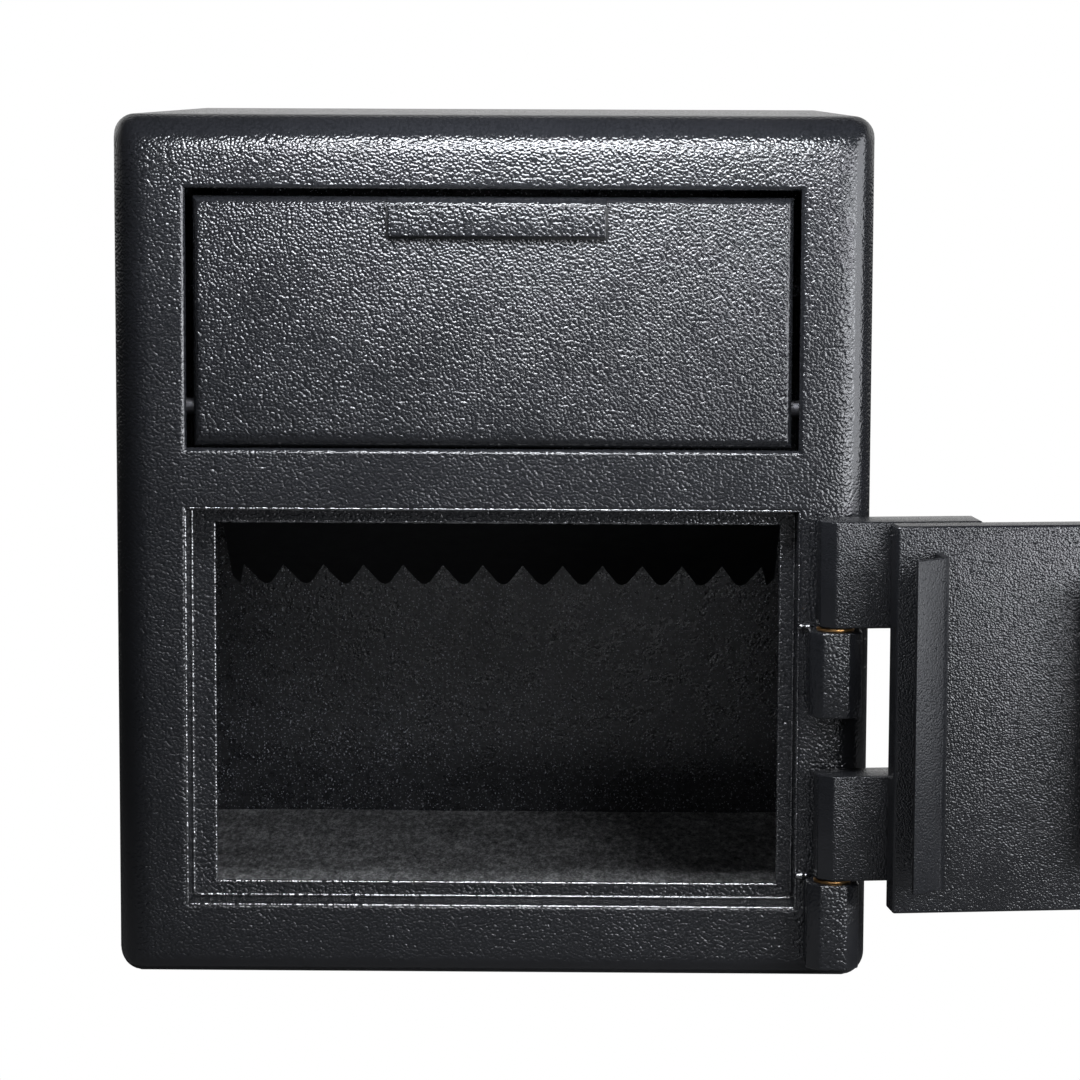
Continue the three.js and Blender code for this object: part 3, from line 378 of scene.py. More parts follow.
def brushedMetal(name, look):   # fine scratches, drawn out by stretch, over larger dull patches
    material, tree, surface, coords = startMaterial(name)
    drawn = addNode(tree, "Mapping", {"Vector": coords, "Scale": look["stretch"]}).outputs["Vector"]
    scratches = noise(tree, drawn, look["grain"], detail=4)
    patches = noise(tree, coords, look["patch"])
    tone = blend(tree, (scratches, look["toneShares"][0]), (patches, look["toneShares"][1]))
    stops = list(zip(noiseRange, (look["dark"], look["light"])))
    tree.links.new(colours(tree, tone, stops), surface.inputs["Base Color"])
    tree.links.new(spread(tree, tone, *noiseRange, *look["gloss"]), surface.inputs["Roughness"])
    relief(tree, surface, scratches, look["depth"])
    surface.inputs["Metallic"].default_value = 1.0
    return material


nylonLook = {"dark": (0.60, 0.57, 0.50), "light": (0.74, 0.71, 0.64), "gloss": (0.45, 0.6),
             "patch": 14, "glossGrain": 3, "grain": 0.7, "depth": 0.03}
enamelLook = {**nylonLook, "dark": (0.009, 0.009, 0.010), "light": (0.016, 0.016, 0.017), "gloss": (0.22, 0.34)}
inkLook = {**nylonLook, "dark": (0.62, 0.62, 0.60), "light": (0.78, 0.78, 0.76), "gloss": (0.4, 0.55)}


def moulded(name, look):   # plastic, enamel or ink with a slight orange peel
    material, tree, surface, coords = startMaterial(name)
    stops = list(zip(noiseRange, (look["dark"], look["light"])))
    tree.links.new(colours(tree, noise(tree, coords, look["patch"]), stops), surface.inputs["Base Color"])
    gloss = spread(tree, noise(tree, coords, look["glossGrain"]), *noiseRange, *look["gloss"])
    tree.links.new(gloss, surface.inputs["Roughness"])
    relief(tree, surface, noise(tree, coords, look["grain"], detail=4), look["depth"])
    return material


feltLook = {
    "tones": [(0.38, (0.035, 0.035, 0.036)), (0.50, (0.21, 0.21, 0.211)), (0.62, (0.62, 0.62, 0.62))],
    "toneShares": (0.45, 0.40, 0.15), "stretch": (1, 0.3, 1), "turn": (0, 0, 0.12),
    "tuft": 3.0, "tuftRoughness": 0.75, "fibre": 1.2, "fibreRoughness": 0.8, "ground": 26, "depth": 0.5,
    "gloss": 0.95, "shine": 0.15,
}


def feltCloth(name, look):   # needled fibres that lie front to back over a mottled ground
    material, tree, surface, coords = startMaterial(name)
    mapping = addNode(tree, "Mapping", {"Vector": coords, "Scale": look["stretch"], "Rotation": look["turn"]})
    drawn = mapping.outputs["Vector"]
    tufts = noise(tree, drawn, look["tuft"], detail=5, roughness=look["tuftRoughness"])
    fibres = noise(tree, drawn, look["fibre"], detail=4, roughness=look["fibreRoughness"])
    ground = noise(tree, coords, look["ground"])
    tone = blend(tree, *zip((tufts, fibres, ground), look["toneShares"]))
    tree.links.new(colours(tree, tone, look["tones"]), surface.inputs["Base Color"])
    relief(tree, surface, combine(tree, tufts, fibres), look["depth"])
    surface.inputs["Roughness"].default_value = look["gloss"]
    surface.inputs["Specular IOR Level"].default_value = look["shine"]
    return material


looks = {
    "coat": powderCoat("pebbledCoat", coatLook),
    "interior_coat": powderCoat("insideCoat", insideLook),
    "felt": feltCloth("greyFelt", feltLook),
    "steel": brushedMetal("turnedSteel", steelLook),
    "zinc_plate": brushedMetal("zincPlate", zincLook),
    "brass": brushedMetal("dullBrass", brassLook),
    "chrome": brushedMetal("brightChrome", chromeLook),
    "nylon": moulded("paleNylon", nylonLook),
    "dial_black": moulded("blackEnamel", enamelLook),
}
smoothCoat = powderCoat("smoothedCoat", smoothLook)
beadCoat = powderCoat("beadCoat", beadLook)
doorCoat = powderCoat("doorCoat", doorLook)
hopperCoat = powderCoat("hopperCoat", hopperLook)
paintedShadeCoat = powderCoat("paintedShadeCoat", paintedShadeLook)
darkSteel = brushedMetal("darkSteel", darkSteelLook)
whiteInk = moulded("whiteInk", inkLook)
for entry in frame["record"]["subparts"]:
    mesh = frame["nodes"][entry["node"]].data
    mesh.materials.clear()
    mesh.materials.append(looks[entry["material_slot"]])
for side in ("left", "right"):   # the hopper's pins are blackened
    frame["nodes"][f"hopper_pin_{side}"].data.materials[0] = darkSteel
backPlate = frame["nodes"]["back_plate"].data   # its inner face is finished like the rest of the inside
backPlate.materials.append(looks["interior_coat"])
for face in backPlate.polygons:
    facesForward = face.normal.y < -0.5
    face.material_index = 1 if facesForward else 0
print("materials made")


# Body

shell = {
    "halfWidth": 177.8, "front": -177.8, "back": 177.8, "height": 406.4, "sheet": 3.4,
    "frontRound": 18, "longRound": 10, "footRound": 10, "openingX": (-143.2, 143.2), "rimRound": 3.0,
    "doorway": (34.4, 221.8), "hopperway": (251.0, 372.0), "anchorPlace": 119.8, "anchorRadius": 6.5,
}


def makeShell(size):
    half, front, back = size["halfWidth"], size["front"], size["back"]
    across, levels = size["openingX"], (*size["doorway"], *size["hopperway"])
    body = startCube("safeBody", (-half, half), (front, back), (0, size["height"]))
    dropFaces(body, lambda face: lies(face, "y", back))
    weighEdges(body, [
        (size["longRound"] / size["frontRound"], lambda edge: not lies(edge, "y", front, back)),
        (1.0, lambda edge: lies(edge, "y", front)),
        (size["footRound"] / size["frontRound"], lambda edge: lies(edge, "y", front) and lies(edge, "z", 0)),
    ])
    modify(body, "BEVEL", width=size["frontRound"] * mm, segments=8, limit_method="WEIGHT")
    addLoops(body, "x", across)
    addLoops(body, "z", levels)

    def inOpening(item):
        return (lies(item, "y", front) and within(item, "x", *across)
                and (within(item, "z", *size["doorway"]) or within(item, "z", *size["hopperway"])))
    dropFaces(body, inOpening)
    modify(body, "SOLIDIFY", thickness=size["sheet"] * mm, offset=-1, use_even_offset=True)
    bevelEdges(body, size["rimRound"], 6,
               lambda edge: inOpening(edge) and (lies(edge, "x", *across) or lies(edge, "z", *levels)))
    for sideX in (-1, 1):
        for sideY in (-1, 1):
            centre = (sideX * size["anchorPlace"], sideY * size["anchorPlace"])
            drill(body, "z", centre, (0, size["sheet"]), size["anchorRadius"])
    dress(body, "safe_body", "coat", ["body_shell"], angle=25)


makeShell(shell)
print("body made")

jamb = {"half": 146.6, "front": -174.4, "floor": -161.3, "back": -157.9, "levels": (31.0, 225.2), "wall": 3.4,
        "gapX": (-131.4, 135.6), "gapZ": (41.9, 214.5), "gapStart": 1, "lipRound": 1.0, "fillet": 2.0}


def makeJamb(size):
    low, high = size["levels"]
    frameBox = startCube("doorFrame", (-size["half"], size["half"]), (size["front"], size["back"]), (low, high))
    pick(frameBox, "faces", lambda face: lies(face, "y", size["front"]))
    bpy.ops.mesh.inset(thickness=size["wall"] * mm)
    extrudePicked(0, size["floor"] - size["front"], 0)
    editDone()
    for plane in ("floor", "back"):   # the doorway's outline, on both faces of the flange
        start = size["gapStart"] if plane == "floor" else size["wall"] + size["gapStart"]
        pick(frameBox, "faces", lambda face: lies(face, "y", size[plane]))
        bpy.ops.mesh.inset(thickness=start * mm)
        mesh = bmesh.from_edit_mesh(frameBox.data)
        for corner in [vert for vert in mesh.verts if vert.select]:
            isRight, isUpper = corner.co.x > 0, corner.co.z > (low + high) / 2 * mm
            corner.co.x = size["gapX"][isRight] * mm
            corner.co.z = size["gapZ"][isUpper] * mm
        bmesh.update_edit_mesh(frameBox.data)
        bpy.ops.mesh.delete(type="FACE")
        editDone()
    pick(frameBox, "edges", lambda edge: edge.is_boundary)
    bpy.ops.mesh.bridge_edge_loops()
    editDone()
    tidyMesh(frameBox)
    inner = size["half"] - size["wall"]
    bevelEdges(frameBox, size["fillet"], 4, lambda edge: lies(edge, "y", size["floor"])
               and (lies(edge, "x", -inner, inner) or lies(edge, "z", low + size["wall"], high - size["wall"])))
    bevelEdges(frameBox, size["lipRound"], 3, lambda edge: lies(edge, "y", size["floor"])
               and within(edge, "x", *size["gapX"]) and within(edge, "z", *size["gapZ"]))
    dress(frameBox, "safe_body", "coat", ["door_jamb"])


makeJamb(jamb)
print("door frame made")


# Hopper

panel = {"half": 139.9, "front": -177.8, "back": -151.8, "levels": (251.6, 368.5), "sheet": 2.5,
         "bottomBend": 8, "sideBend": 4.5, "topBend": 4.6, "pivot": (-162.8, 269.5), "pivotRadius": 6.5}


def makePanel(size):
    pan = startCube("hopperFront", (-size["half"], size["half"]), (size["front"], size["back"]), size["levels"])
    dropFaces(pan, lambda face: lies(face, "y", size["back"]))
    low, high = size["levels"]
    front, half, widest = size["front"], size["half"], size["bottomBend"]
    weighEdges(pan, [
        (1.0, lambda edge: lies(edge, "y", front) and lies(edge, "z", low)),
        (size["topBend"] / widest, lambda edge: lies(edge, "y", front) and lies(edge, "z", high)),
        (size["sideBend"] / widest, lambda edge: lies(edge, "y", front) and lies(edge, "x", -half, half)),
    ])
    modify(pan, "BEVEL", width=widest * mm, segments=8, limit_method="WEIGHT")
    modify(pan, "SOLIDIFY", thickness=size["sheet"] * mm, offset=-1, use_even_offset=True)
    drill(pan, "x", size["pivot"], (-half, half), size["pivotRadius"])
    dress(pan, "hopper", "coat", ["hopper_panel"], angle=28, look=hopperCoat)


makePanel(panel)

lip = {"x": (-48.5, 52.5), "y": (-182.8, -177.8), "z": (350.3, 368.5), "topRound": 4.7, "edge": 0.8,
       "shadowBand": 1.2, "shadowBandHeight": 0.2, "shadowBandEdge": 0.12}


def makeLip(size):
    left, right = size["x"]
    front, back = size["y"]
    bottom, top = size["z"]
    strip = startCube("pullLip", size["x"], size["y"], size["z"])
    bevelEdges(strip, size["topRound"], 7, lambda edge: lies(edge, "y", front) and lies(edge, "z", top))
    bevelEdges(strip, size["edge"], 3, lambda edge: (lies(edge, "y", front) and lies(edge, "x", left, right))
               or (lies(edge, "z", bottom) and within(edge, "y", front, back - 1)))
    dress(strip, "hopper", "coat", ["hopper_pull_lip"], look=hopperCoat)
    shadowBand = startCube("lipShadowBand", (left - size["shadowBand"], right + size["shadowBand"]),   # painted shadow: a dark band round the lip's sides and bottom
                     (back - size["shadowBandHeight"], back + size["shadowBandHeight"]),
                     (bottom - size["shadowBand"], top - size["topRound"]))
    bevelSharp(shadowBand, size["shadowBandEdge"], segments=2)
    dress(shadowBand, "hopper", "coat", look=paintedShadeCoat)


makeLip(lip)
print("hopper front made")


# Saw-tooth chute

chute = {"half": 143.6, "pitch": 21, "count": 13, "depth": 23, "slopeRun": 139.5, "slopeDegrees": 33.5,
         "sheet": 2.6, "levelHalf": 148.2, "levelY": (-174.4, -50.4), "top": 235.0, "columns": 16, "endDrop": 0.6,
         "tooth": [(0, 0), (0.1, 0.25), (0.205, 0.5), (0.3, 0.745), (0.36, 0.885), (0.42, 0.965), (0.5, 1.0)]}


def toothDrop(shape, share):   # how far down the sheet reaches, from the notch at 0 to the tip at one half
    share = min(share, 1 - share)
    for (x0, y0), (x1, y1) in zip(shape, shape[1:]):
        if share <= x1:
            return y0 + (y1 - y0) * (share - x0) / (x1 - x0)
    return 1.0


def makeChute(size):
    teethHalf = size["count"] * size["pitch"] / 2
    places = [-size["half"], -(size["half"] + teethHalf) / 2]
    drops = [size["endDrop"], 1.0]
    for step in range(size["count"] * size["columns"] + 1):
        places.append(-teethHalf + step * size["pitch"] / size["columns"])
        drops.append(toothDrop(size["tooth"], step % size["columns"] / size["columns"]))
    places += [-places[1], size["half"]]
    drops += [1.0, size["endDrop"]]
    clearSelection()
    bpy.ops.mesh.primitive_grid_add(x_subdivisions=len(places) - 1, y_subdivisions=1, size=2)
    plate = settle("sawToothChute")
    root = size["slopeRun"] - size["depth"]
    columns = sorted(plate.data.vertices, key=lambda corner: (round(corner.co.x, 5), -corner.co.y))
    for index, corner in enumerate(columns):   # each column has its top corner, then its corner at the teeth
        column, atTeeth = divmod(index, 2)
        down = (root + size["depth"] * drops[column]) if atTeeth else 0
        corner.co = Vector((places[column], 0, -down)) * mm
    slope = math.radians(size["slopeDegrees"])
    lean = Matrix.Rotation(math.pi / 2 - slope, 4, "X")
    plate.data.transform(Matrix.Translation(Vector((0, size["levelY"][1], size["top"])) * mm) @ lean)
    tidyMesh(plate)
    facesUp = plate.data.polygons[0].normal.z > 0   # either way the wall grows downwards
    modify(plate, "SOLIDIFY", thickness=size["sheet"] * mm, offset=-1 if facesUp else 1)
    tidyMesh(plate)
    level = startCube("levelPlate", (-size["levelHalf"], size["levelHalf"]), size["levelY"],
                      (size["top"] - size["sheet"], size["top"]))
    plate = joinPieces("sawToothChute", [plate, level])
    # painted shade: the chute's sheet wears the darker copy of the inside coat
    dress(plate, "safe_body", "interior_coat", ["saw_tooth_chute"], look=paintedShadeCoat)


makeChute(chute)
print("chute made")


# Felt mat

mat = {"x": (-164.1, 164.1), "y": (-157.6, 173.8), "top": 13.2, "thick": 3.6, "wave": 0.7, "cells": 90, "seed": 4,
       "sideMargin": 0.6, "endMargin": 1.2, "ragged": 1.1, "raggedFrom": 0.9}


def makeMat(size):
    random.seed(size["seed"])
    clearSelection()
    bpy.ops.mesh.primitive_grid_add(x_subdivisions=size["cells"], y_subdivisions=size["cells"], size=2)
    cloth = settle("floorMat")
    halfX, halfY = (size["x"][1] - size["x"][0]) / 2, (size["y"][1] - size["y"][0]) / 2
    midX, midY = sum(size["x"]) / 2, sum(size["y"]) / 2
    phases = [random.uniform(0, fullTurn) for _ in range(6)]
    for corner in cloth.data.vertices:   # u and v run from -1 to 1 over the mat; three sines make each unevenness
        u, v = corner.co.x, corner.co.y
        wave = sum(math.sin(u * (3 + 2 * k) + v * (2 + k) + phases[k]) for k in range(3)) / 3
        ragged = sum(math.sin(u * (7 + 6 * k) + phases[k + 3]) for k in range(3)) / 3
        nearEnd = max(0.0, (abs(v) - size["raggedFrom"]) / (1 - size["raggedFrom"]))
        x = midX + u * (halfX - size["sideMargin"])
        y = midY + v * (halfY - size["endMargin"]) + nearEnd * ragged * size["ragged"]
        corner.co = Vector((x, y, size["top"] - size["wave"] * (1 - wave) * 0.5)) * mm
    modify(cloth, "SOLIDIFY", thickness=size["thick"] * mm, offset=-1)
    dress(cloth, "safe_body", "felt", ["floor_mat"], angle=60)


makeMat(mat)
print("mat made")


# Strap hinges

hinges = {   # each set holds the knuckle's two levels, then the strap's
    "axis": (doorHinge["x"], doorHinge["y"]), "soften": 0.9,
    "knuckleHalf": 12.3, "knuckleChamfer": 6, "wallY": -177.8,
    "strapX": (94.0, 169.0), "strapY": (-201.5, -178.1), "noseChamfer": 6.4,
    "washerRadius": 8.8, "washerHeight": 1.5, "washerEdge": 0.5,
    "sets": {"upper": (128.6, 168.7, 170.8, 220.5), "lower": (9.4, 49.7, 51.8, 101.5)},
}


def makeHinge(size, name, levels):
    axisX, axisY = size["axis"]
    half = size["knuckleHalf"]
    knuckle = startCube(f"bodyKnuckle_{name}", (axisX - half, axisX + half), (axisY - half, size["wallY"]),
                        levels[:2])
    bevelEdges(knuckle, size["knuckleChamfer"], 1, lambda edge: not lies(edge, "z", *levels[:2]))
    bevelSharp(knuckle, size["soften"], angle=40)
    dress(knuckle, "safe_body", "coat", [f"hinge_knuckle_{name}"])
    low, high = levels[2:]
    strap = startCube(f"doorStrap_{name}", size["strapX"], size["strapY"], (low, high))
    nose = size["strapX"][1]
    bevelEdges(strap, size["noseChamfer"], 1,
               lambda edge: lies(edge, "x", nose) and not lies(edge, "z", low, high))
    bevelSharp(strap, size["soften"], angle=40)
    dress(strap, "door", "coat", [f"hinge_strap_{name}"], look=doorCoat)
    washer = startBar(f"brassWasher_{name}", "z", size["axis"], (levels[1], levels[1] + size["washerHeight"]),
                      size["washerRadius"], corners=64)
    bevelSharp(washer, size["washerEdge"], angle=60)
    dress(washer, "safe_body", "brass", [f"hinge_washer_{name}"])


for setName, setLevels in hinges["sets"].items():
    makeHinge(hinges, setName, setLevels)

weld = {"radius": 3.0, "reach": 9.6, "short": 2, "y": -178.4, "ripple": 0.35, "pitch": 3.4, "step": 0.8,
        "corners": 16, "wander": 0, "tipStart": 0.4, "tipLength": 2.4, "tipLeast": 0.05}


def makeBead(size, name, axis, centre, ends, look):   # a rippled run of weld or of pooled paint
    bead = startBar(name, axis, centre, ends, size["radius"], size["corners"])
    along = "xyz".index(axis)
    cuts = round(math.sqrt((ends[1] - ends[0]) / size["step"]))
    for _ in range(2):
        pick(bead, "edges", lambda edge: abs(edge.verts[0].co[along] - edge.verts[1].co[along]) > onPlane)
        bpy.ops.mesh.subdivide(number_cuts=cuts)
        editDone()
    spine = Vector((centre[0], centre[1], 0)) * mm if axis == "z" else Vector((0, *centre)) * mm
    random.seed(name)
    phases = [random.uniform(0, fullTurn) for _ in range(4)]
    for corner in bead.data.vertices:   # round its spine, thick and thin by the ripple, and tapered at both ends
        place = corner.co[along] / mm
        toEnd = min(1.0, (min(place - ends[0], ends[1] - place) + size["tipStart"]) / size["tipLength"])
        drift = sum(math.sin(place * (0.31 + 0.43 * k) + phases[k]) for k in range(4)) / 4
        ripple = size["ripple"] * (abs(math.sin(math.pi * place / size["pitch"])) - 0.5) * 0.5
        spine[along] = corner.co[along]
        thickness = (1 + ripple + size["wander"] * drift) * math.sqrt(max(size["tipLeast"], toEnd))
        corner.co = spine + (corner.co - spine) * thickness
    dress(bead, "safe_body", "coat", angle=80, look=look)


for setName, setLevels in hinges["sets"].items():
    for sideName, side in (("left", -1), ("right", 1)):
        makeBead(weld, f"weld_{setName}_{sideName}", "z", (doorHinge["x"] + side * weld["reach"], weld["y"]),
                 (setLevels[0] + weld["short"], setLevels[1] - weld["short"]), smoothCoat)

tack = {**weld, "radius": 1.5, "pitch": 2.6, "x": (143.4, 151.2), "y": -178.0, "drop": 0.3, "wander": 0.3}
for setName, setLevels in hinges["sets"].items():
    makeBead(tack, f"weldTack_{setName}", "x", (tack["y"], setLevels[1] - tack["drop"]), tack["x"], beadCoat)

rimBead = {**weld, "radius": 0.75, "ripple": 0.5, "pitch": 1.5, "step": 0.5, "corners": 12, "wander": 0.32}
rimRuns = {   # sides, levels and depth of the doorway's rim, the recess corner and the flange's edge
    "rim": ((-144.1, 144.1), (33.5, 222.7), -176.6),
    "corner": ((-142.4, 142.4), (35.2, 221.0), -161.9),
    "flange": ((-131.9, 136.1), (41.4, 215.0), -160.5),
}
for runName, (sides, levels, depth) in rimRuns.items():
    for number, side, level in zip((1, 2), sides, levels):
        makeBead(rimBead, f"paintBead_{runName}_side{number}", "z", (side, depth), levels, beadCoat)
        makeBead(rimBead, f"paintBead_{runName}_level{number}", "x", (depth, level), sides, beadCoat)
print("hinges made")


# Door

door = {"x": (-140.0, 137.3), "y": (-177.8, -161.9), "z": (39.5, 220.2), "edge": 1.3,
        "handle": (-72.0, 129.85), "handleHole": 6.3, "dial": (14.0, 112.85), "dialHole": 4.6}


def makeDoor(size):
    plate = startCube("doorPlate", size["x"], size["y"], size["z"])
    bevelSharp(plate, size["edge"], segments=4)
    for fitting in ("handle", "dial"):
        drill(plate, "y", size[fitting], size["y"], size[f"{fitting}Hole"])
    dress(plate, "door", "coat", ["door_plate"], look=doorCoat)


makeDoor(door)

deadBar = {"x": (116.5, 134.2), "y": (-161.6, -130.6), "z": (54.6, 208.2), "sheet": 3.2, "bend": 4, "edge": 0.7,
           "lean": 12.5}


def makeDeadBar(size):   # a leg that stands on the door and a lip along its end, lower at the bend than at its tip
    near, far = size["y"]
    bar = startCube("deadBar", (size["x"][0], size["x"][0] + size["sheet"]), (near, far), size["z"])
    inner = size["x"][0] + size["sheet"]
    addLoops(bar, "y", (far - size["sheet"],))
    pick(bar, "faces", lambda face: lies(face, "x", inner) and within(face, "y", far - size["sheet"], far))
    extrudePicked(size["x"][1] - inner, 0, 0)
    editDone()
    for corner in bar.data.vertices:   # everything but the foot on the door follows the lean
        if corner.co.y > (near + 1) * mm:
            corner.co.y -= size["lean"] * (size["x"][1] * mm - corner.co.x) / (size["x"][1] - size["x"][0])
    bend = far - size["lean"]
    bevelEdges(bar, size["bend"], 8, lambda edge: lies(edge, "x", size["x"][0]) and lies(edge, "y", bend))
    bevelSharp(bar, size["edge"], angle=60)
    dress(bar, "door", "coat", ["dead_bar"], angle=30, look=smoothCoat)


makeDeadBar(deadBar)
print("door made")


# Boltwork cover and its screws

cover = {"x": (-120.6, 47.3), "y": (-161.6, -129.0), "z": (64.85, 194.85), "sheet": 1.4, "bend": 3.2,
         "screws": [(-102.3, 70.25), (41.9, 189.45)], "screwRadius": 4.5, "screwHeight": 2.4, "screwRound": 1.3,
         "screwLift": 0.05, "slotLong": 2.6, "slotWide": 0.55, "slotDepth": 1.4}


def makeCover(size):
    near, far = size["y"]
    lid = startCube("boltworkCover", size["x"], size["y"], size["z"])
    dropFaces(lid, lambda face: lies(face, "y", near) or lies(face, "x", size["x"][0]))
    bevelEdges(lid, size["bend"], 5, lambda edge: (lies(edge, "y", far) or lies(edge, "x", size["x"][1]))
               and not edge.is_boundary)
    modify(lid, "SOLIDIFY", thickness=size["sheet"] * mm, offset=-1, use_even_offset=True)
    dress(lid, "door", "coat", ["boltwork_cover"], angle=28)


def makeScrews(size):
    under, top = size["y"][1] + size["screwLift"], size["y"][1] + size["screwHeight"]
    (x, z), (secondX, secondZ) = size["screws"]
    first = startBar("coverScrew_1", "y", (x, z), (under, top), size["screwRadius"], corners=40)
    bevelEdges(first, size["screwRound"], 5, lambda edge: lies(edge, "y", top))
    long, wide = size["slotLong"], size["slotWide"]
    for reachX, reachZ in ((long, wide), (wide, long)):   # crossed driver slots
        cutWith(first, startCube("slot", (x - reachX, x + reachX), (top - size["slotDepth"], top + 1),
                                 (z - reachZ, z + reachZ)))
    second = copyPiece(first, "coverScrew_2", (secondX - x, 0, secondZ - z))
    dress(first, "door", "steel", ["cover_screw_1"])
    dress(second, "door", "steel", ["cover_screw_2"])


makeCover(cover)
makeScrews(cover)
print("cover made")


# Bolt handle

handle = {
    "x": door["handle"][0], "z": door["handle"][1],
    "roseY": (-182.1, -178.1), "roseRadius": 24, "roseRound": 2.4, "roseRim": 5.5, "roseSink": 0.9,
    "roseEdge": 0.4,
    "hubY": (-200.4, -182.4), "hubRadius": 13, "hubRound": 1.6, "hubRim": 2, "hubSeat": 0.2,
    "span": 68, "barWidth": 15, "barY": (-206.4, -194.4), "barEdge": 2.6,
    "waist": {12: 0.72, 22: 0.8},   # share of the width left at two distances from the middle
}


def makeRose(size):   # the round plate under the handle, sunk inside its rim
    outer = size["roseY"][0]
    rose = startBar("handleRose", "y", (size["x"], size["z"]), size["roseY"], size["roseRadius"], corners=72)
    bevelEdges(rose, size["roseRound"], 6, lambda edge: lies(edge, "y", outer))
    pick(rose, "faces", lambda face: lies(face, "y", outer))
    sinkPicked(size["roseRim"], size["roseSink"])
    bevelSharp(rose, size["roseEdge"], segments=2, angle=60)
    dress(rose, "door", "chrome", ["handle_rose"])


def makeGrip(size):
    x, z, width = size["x"], size["z"], size["barWidth"]
    outer, inner = size["hubY"]
    grip = startCube("handleGrip", (x - size["span"] / 2, x + size["span"] / 2), size["barY"],
                     (z - width / 2, z + width / 2))
    addLoops(grip, "x", [x + side * place for side in (-1, 1) for place in size["waist"]])
    for corner in grip.data.vertices:   # narrow at the hub, full at the ends
        away = abs(corner.co.x / mm - x)
        narrow = size["waist"].get(round(away), 1.0)
        corner.co.z = (z + (corner.co.z / mm - z) * narrow) * mm
    bevelSharp(grip, size["barEdge"], segments=2, angle=40)
    modify(grip, "SUBSURF", levels=2, render_levels=2)
    hub = startBar("handleHub", "y", (x, z), size["hubY"], size["hubRadius"], corners=64)
    bevelEdges(hub, size["hubRound"], 4, lambda edge: lies(edge, "y", outer))
    pick(hub, "faces", lambda face: lies(face, "y", inner))
    sinkPicked(size["hubRim"], size["hubSeat"])
    grip = joinPieces("handleGrip", [grip, hub])
    dress(grip, "bolt_handle", "chrome", ["handle_grip"])


makeRose(handle)
makeGrip(handle)
print("handle made")


# Combination dial with plain numbers

dial = {
    "x": door["dial"][0], "z": door["dial"][1],
    "ringY": (-187.1, -178.1), "ringOuter": 40, "ringInner": 31.5, "ringRound": 2.6,
    "skirtY": (-187.1, -181.1), "skirtRadius": 30.9, "skirtRound": 0.8,
    "knobFront": -207.1, "knobRadius": 17, "knobRound": 1.2, "knobRim": 2.5, "knobSink": 1.2,
    "flutes": 24, "fluteDepthShare": 0.055, "discRadius": 14,
}


def makeRing(size):   # fixed to the door, with its outer edge rounded
    front = size["ringY"][0]
    ring = startBar("dialRing", "y", (size["x"], size["z"]), size["ringY"], size["ringOuter"], corners=96)
    drill(ring, "y", (size["x"], size["z"]), size["ringY"], size["ringInner"], corners=96)
    middle = Vector((size["x"], front, size["z"])) * mm
    between = (size["ringInner"] + size["ringOuter"]) / 2 * mm
    bevelEdges(ring, size["ringRound"], 4, lambda edge: lies(edge, "y", front)
               and all((corner.co - middle).length > between for corner in edge.verts))
    dress(ring, "door", "dial_black", ["dial_ring"], level=True)


def makeKnob(size):   # a flat skirt that carries the scale, and a fluted grip
    x, z, front, skirtFront = size["x"], size["z"], size["knobFront"], size["skirtY"][0]
    skirt = startBar("dialKnob", "y", (x, z), size["skirtY"], size["skirtRadius"], corners=100)
    bevelEdges(skirt, size["skirtRound"], 3, lambda edge: lies(edge, "y", skirtFront))
    knob = startBar("fluted", "y", (x, z), (front, skirtFront + 1), size["knobRadius"], size["flutes"] * 4)
    bevelEdges(knob, size["knobRound"], 3, lambda edge: lies(edge, "y", front))
    pick(knob, "faces", lambda face: lies(face, "y", front))
    sinkPicked(size["knobRim"], size["knobSink"])
    for corner in knob.data.vertices:   # flutes round the grip, outside its sunk disc
        across, up = corner.co.x / mm - x, corner.co.z / mm - z
        deep = size["fluteDepthShare"] if math.hypot(across, up) > size["discRadius"] else 0
        pull = 1 - deep * (0.5 + 0.5 * math.cos(math.atan2(up, across) * size["flutes"]))
        corner.co.x = (x + across * pull) * mm
        corner.co.z = (z + up * pull) * mm
    whole = joinPieces("dialKnob", [skirt, knob])
    dress(whole, "dial", "dial_black", ["dial_knob"], level=True)


scale = {
    "steps": 100, "inset": 1.2, "halfWidth": 0.16, "halfHeight": 0.12, "lift": 0.02,
    "lengths": {10: 4.6, 5: 3.4, 1: 2.2},   # of the tens, the fives and the rest
    "numberHeight": 4.2, "numberThick": 0.05, "numberLift": 0.08, "numberInset": 9.4,
    "pointerHalf": 0.5, "pointerFront": 0.12, "pointerBack": 0.4, "pointerStart": 0.6, "pointerEnd": 3.2,
    "pointerEdge": 0.1,
}


def makeScale(size, knob):
    marks = []
    face, outer = knob["skirtY"][0], knob["skirtRadius"] - size["inset"]

    def roundDial(piece, step, lift=0.0):   # turns a mark that stands at the top to its step
        turn = Matrix.Rotation(-math.tau * step / size["steps"], 4, "Y")
        piece.data.transform(Matrix.Translation(Vector((knob["x"], face - lift, knob["z"])) * mm) @ turn)
        marks.append(piece)
    for step in range(size["steps"]):
        length = next(long for every, long in size["lengths"].items() if step % every == 0)
        mark = startCube("mark", (-size["halfWidth"], size["halfWidth"]),
                         (-size["halfHeight"], size["halfHeight"]), (outer - length, outer))
        roundDial(mark, step, size["lift"])
    for step in range(0, size["steps"], 10):
        clearSelection()
        bpy.ops.object.text_add()
        number = bpy.context.object
        number.data.body = str(step)
        number.data.size = size["numberHeight"] * mm
        number.data.align_x = "CENTER"
        number.data.extrude = size["numberThick"] * mm
        bpy.ops.object.convert(target="MESH")
        stand = Matrix.Rotation(math.pi / 2, 4, "X")
        place = Vector((0, -size["numberLift"], knob["skirtRadius"] - size["numberInset"])) * mm
        number.data.transform(Matrix.Translation(place) @ stand)
        roundDial(number, step)
    dress(joinPieces("dialScale", marks), "dial", "dial_black", look=whiteInk)


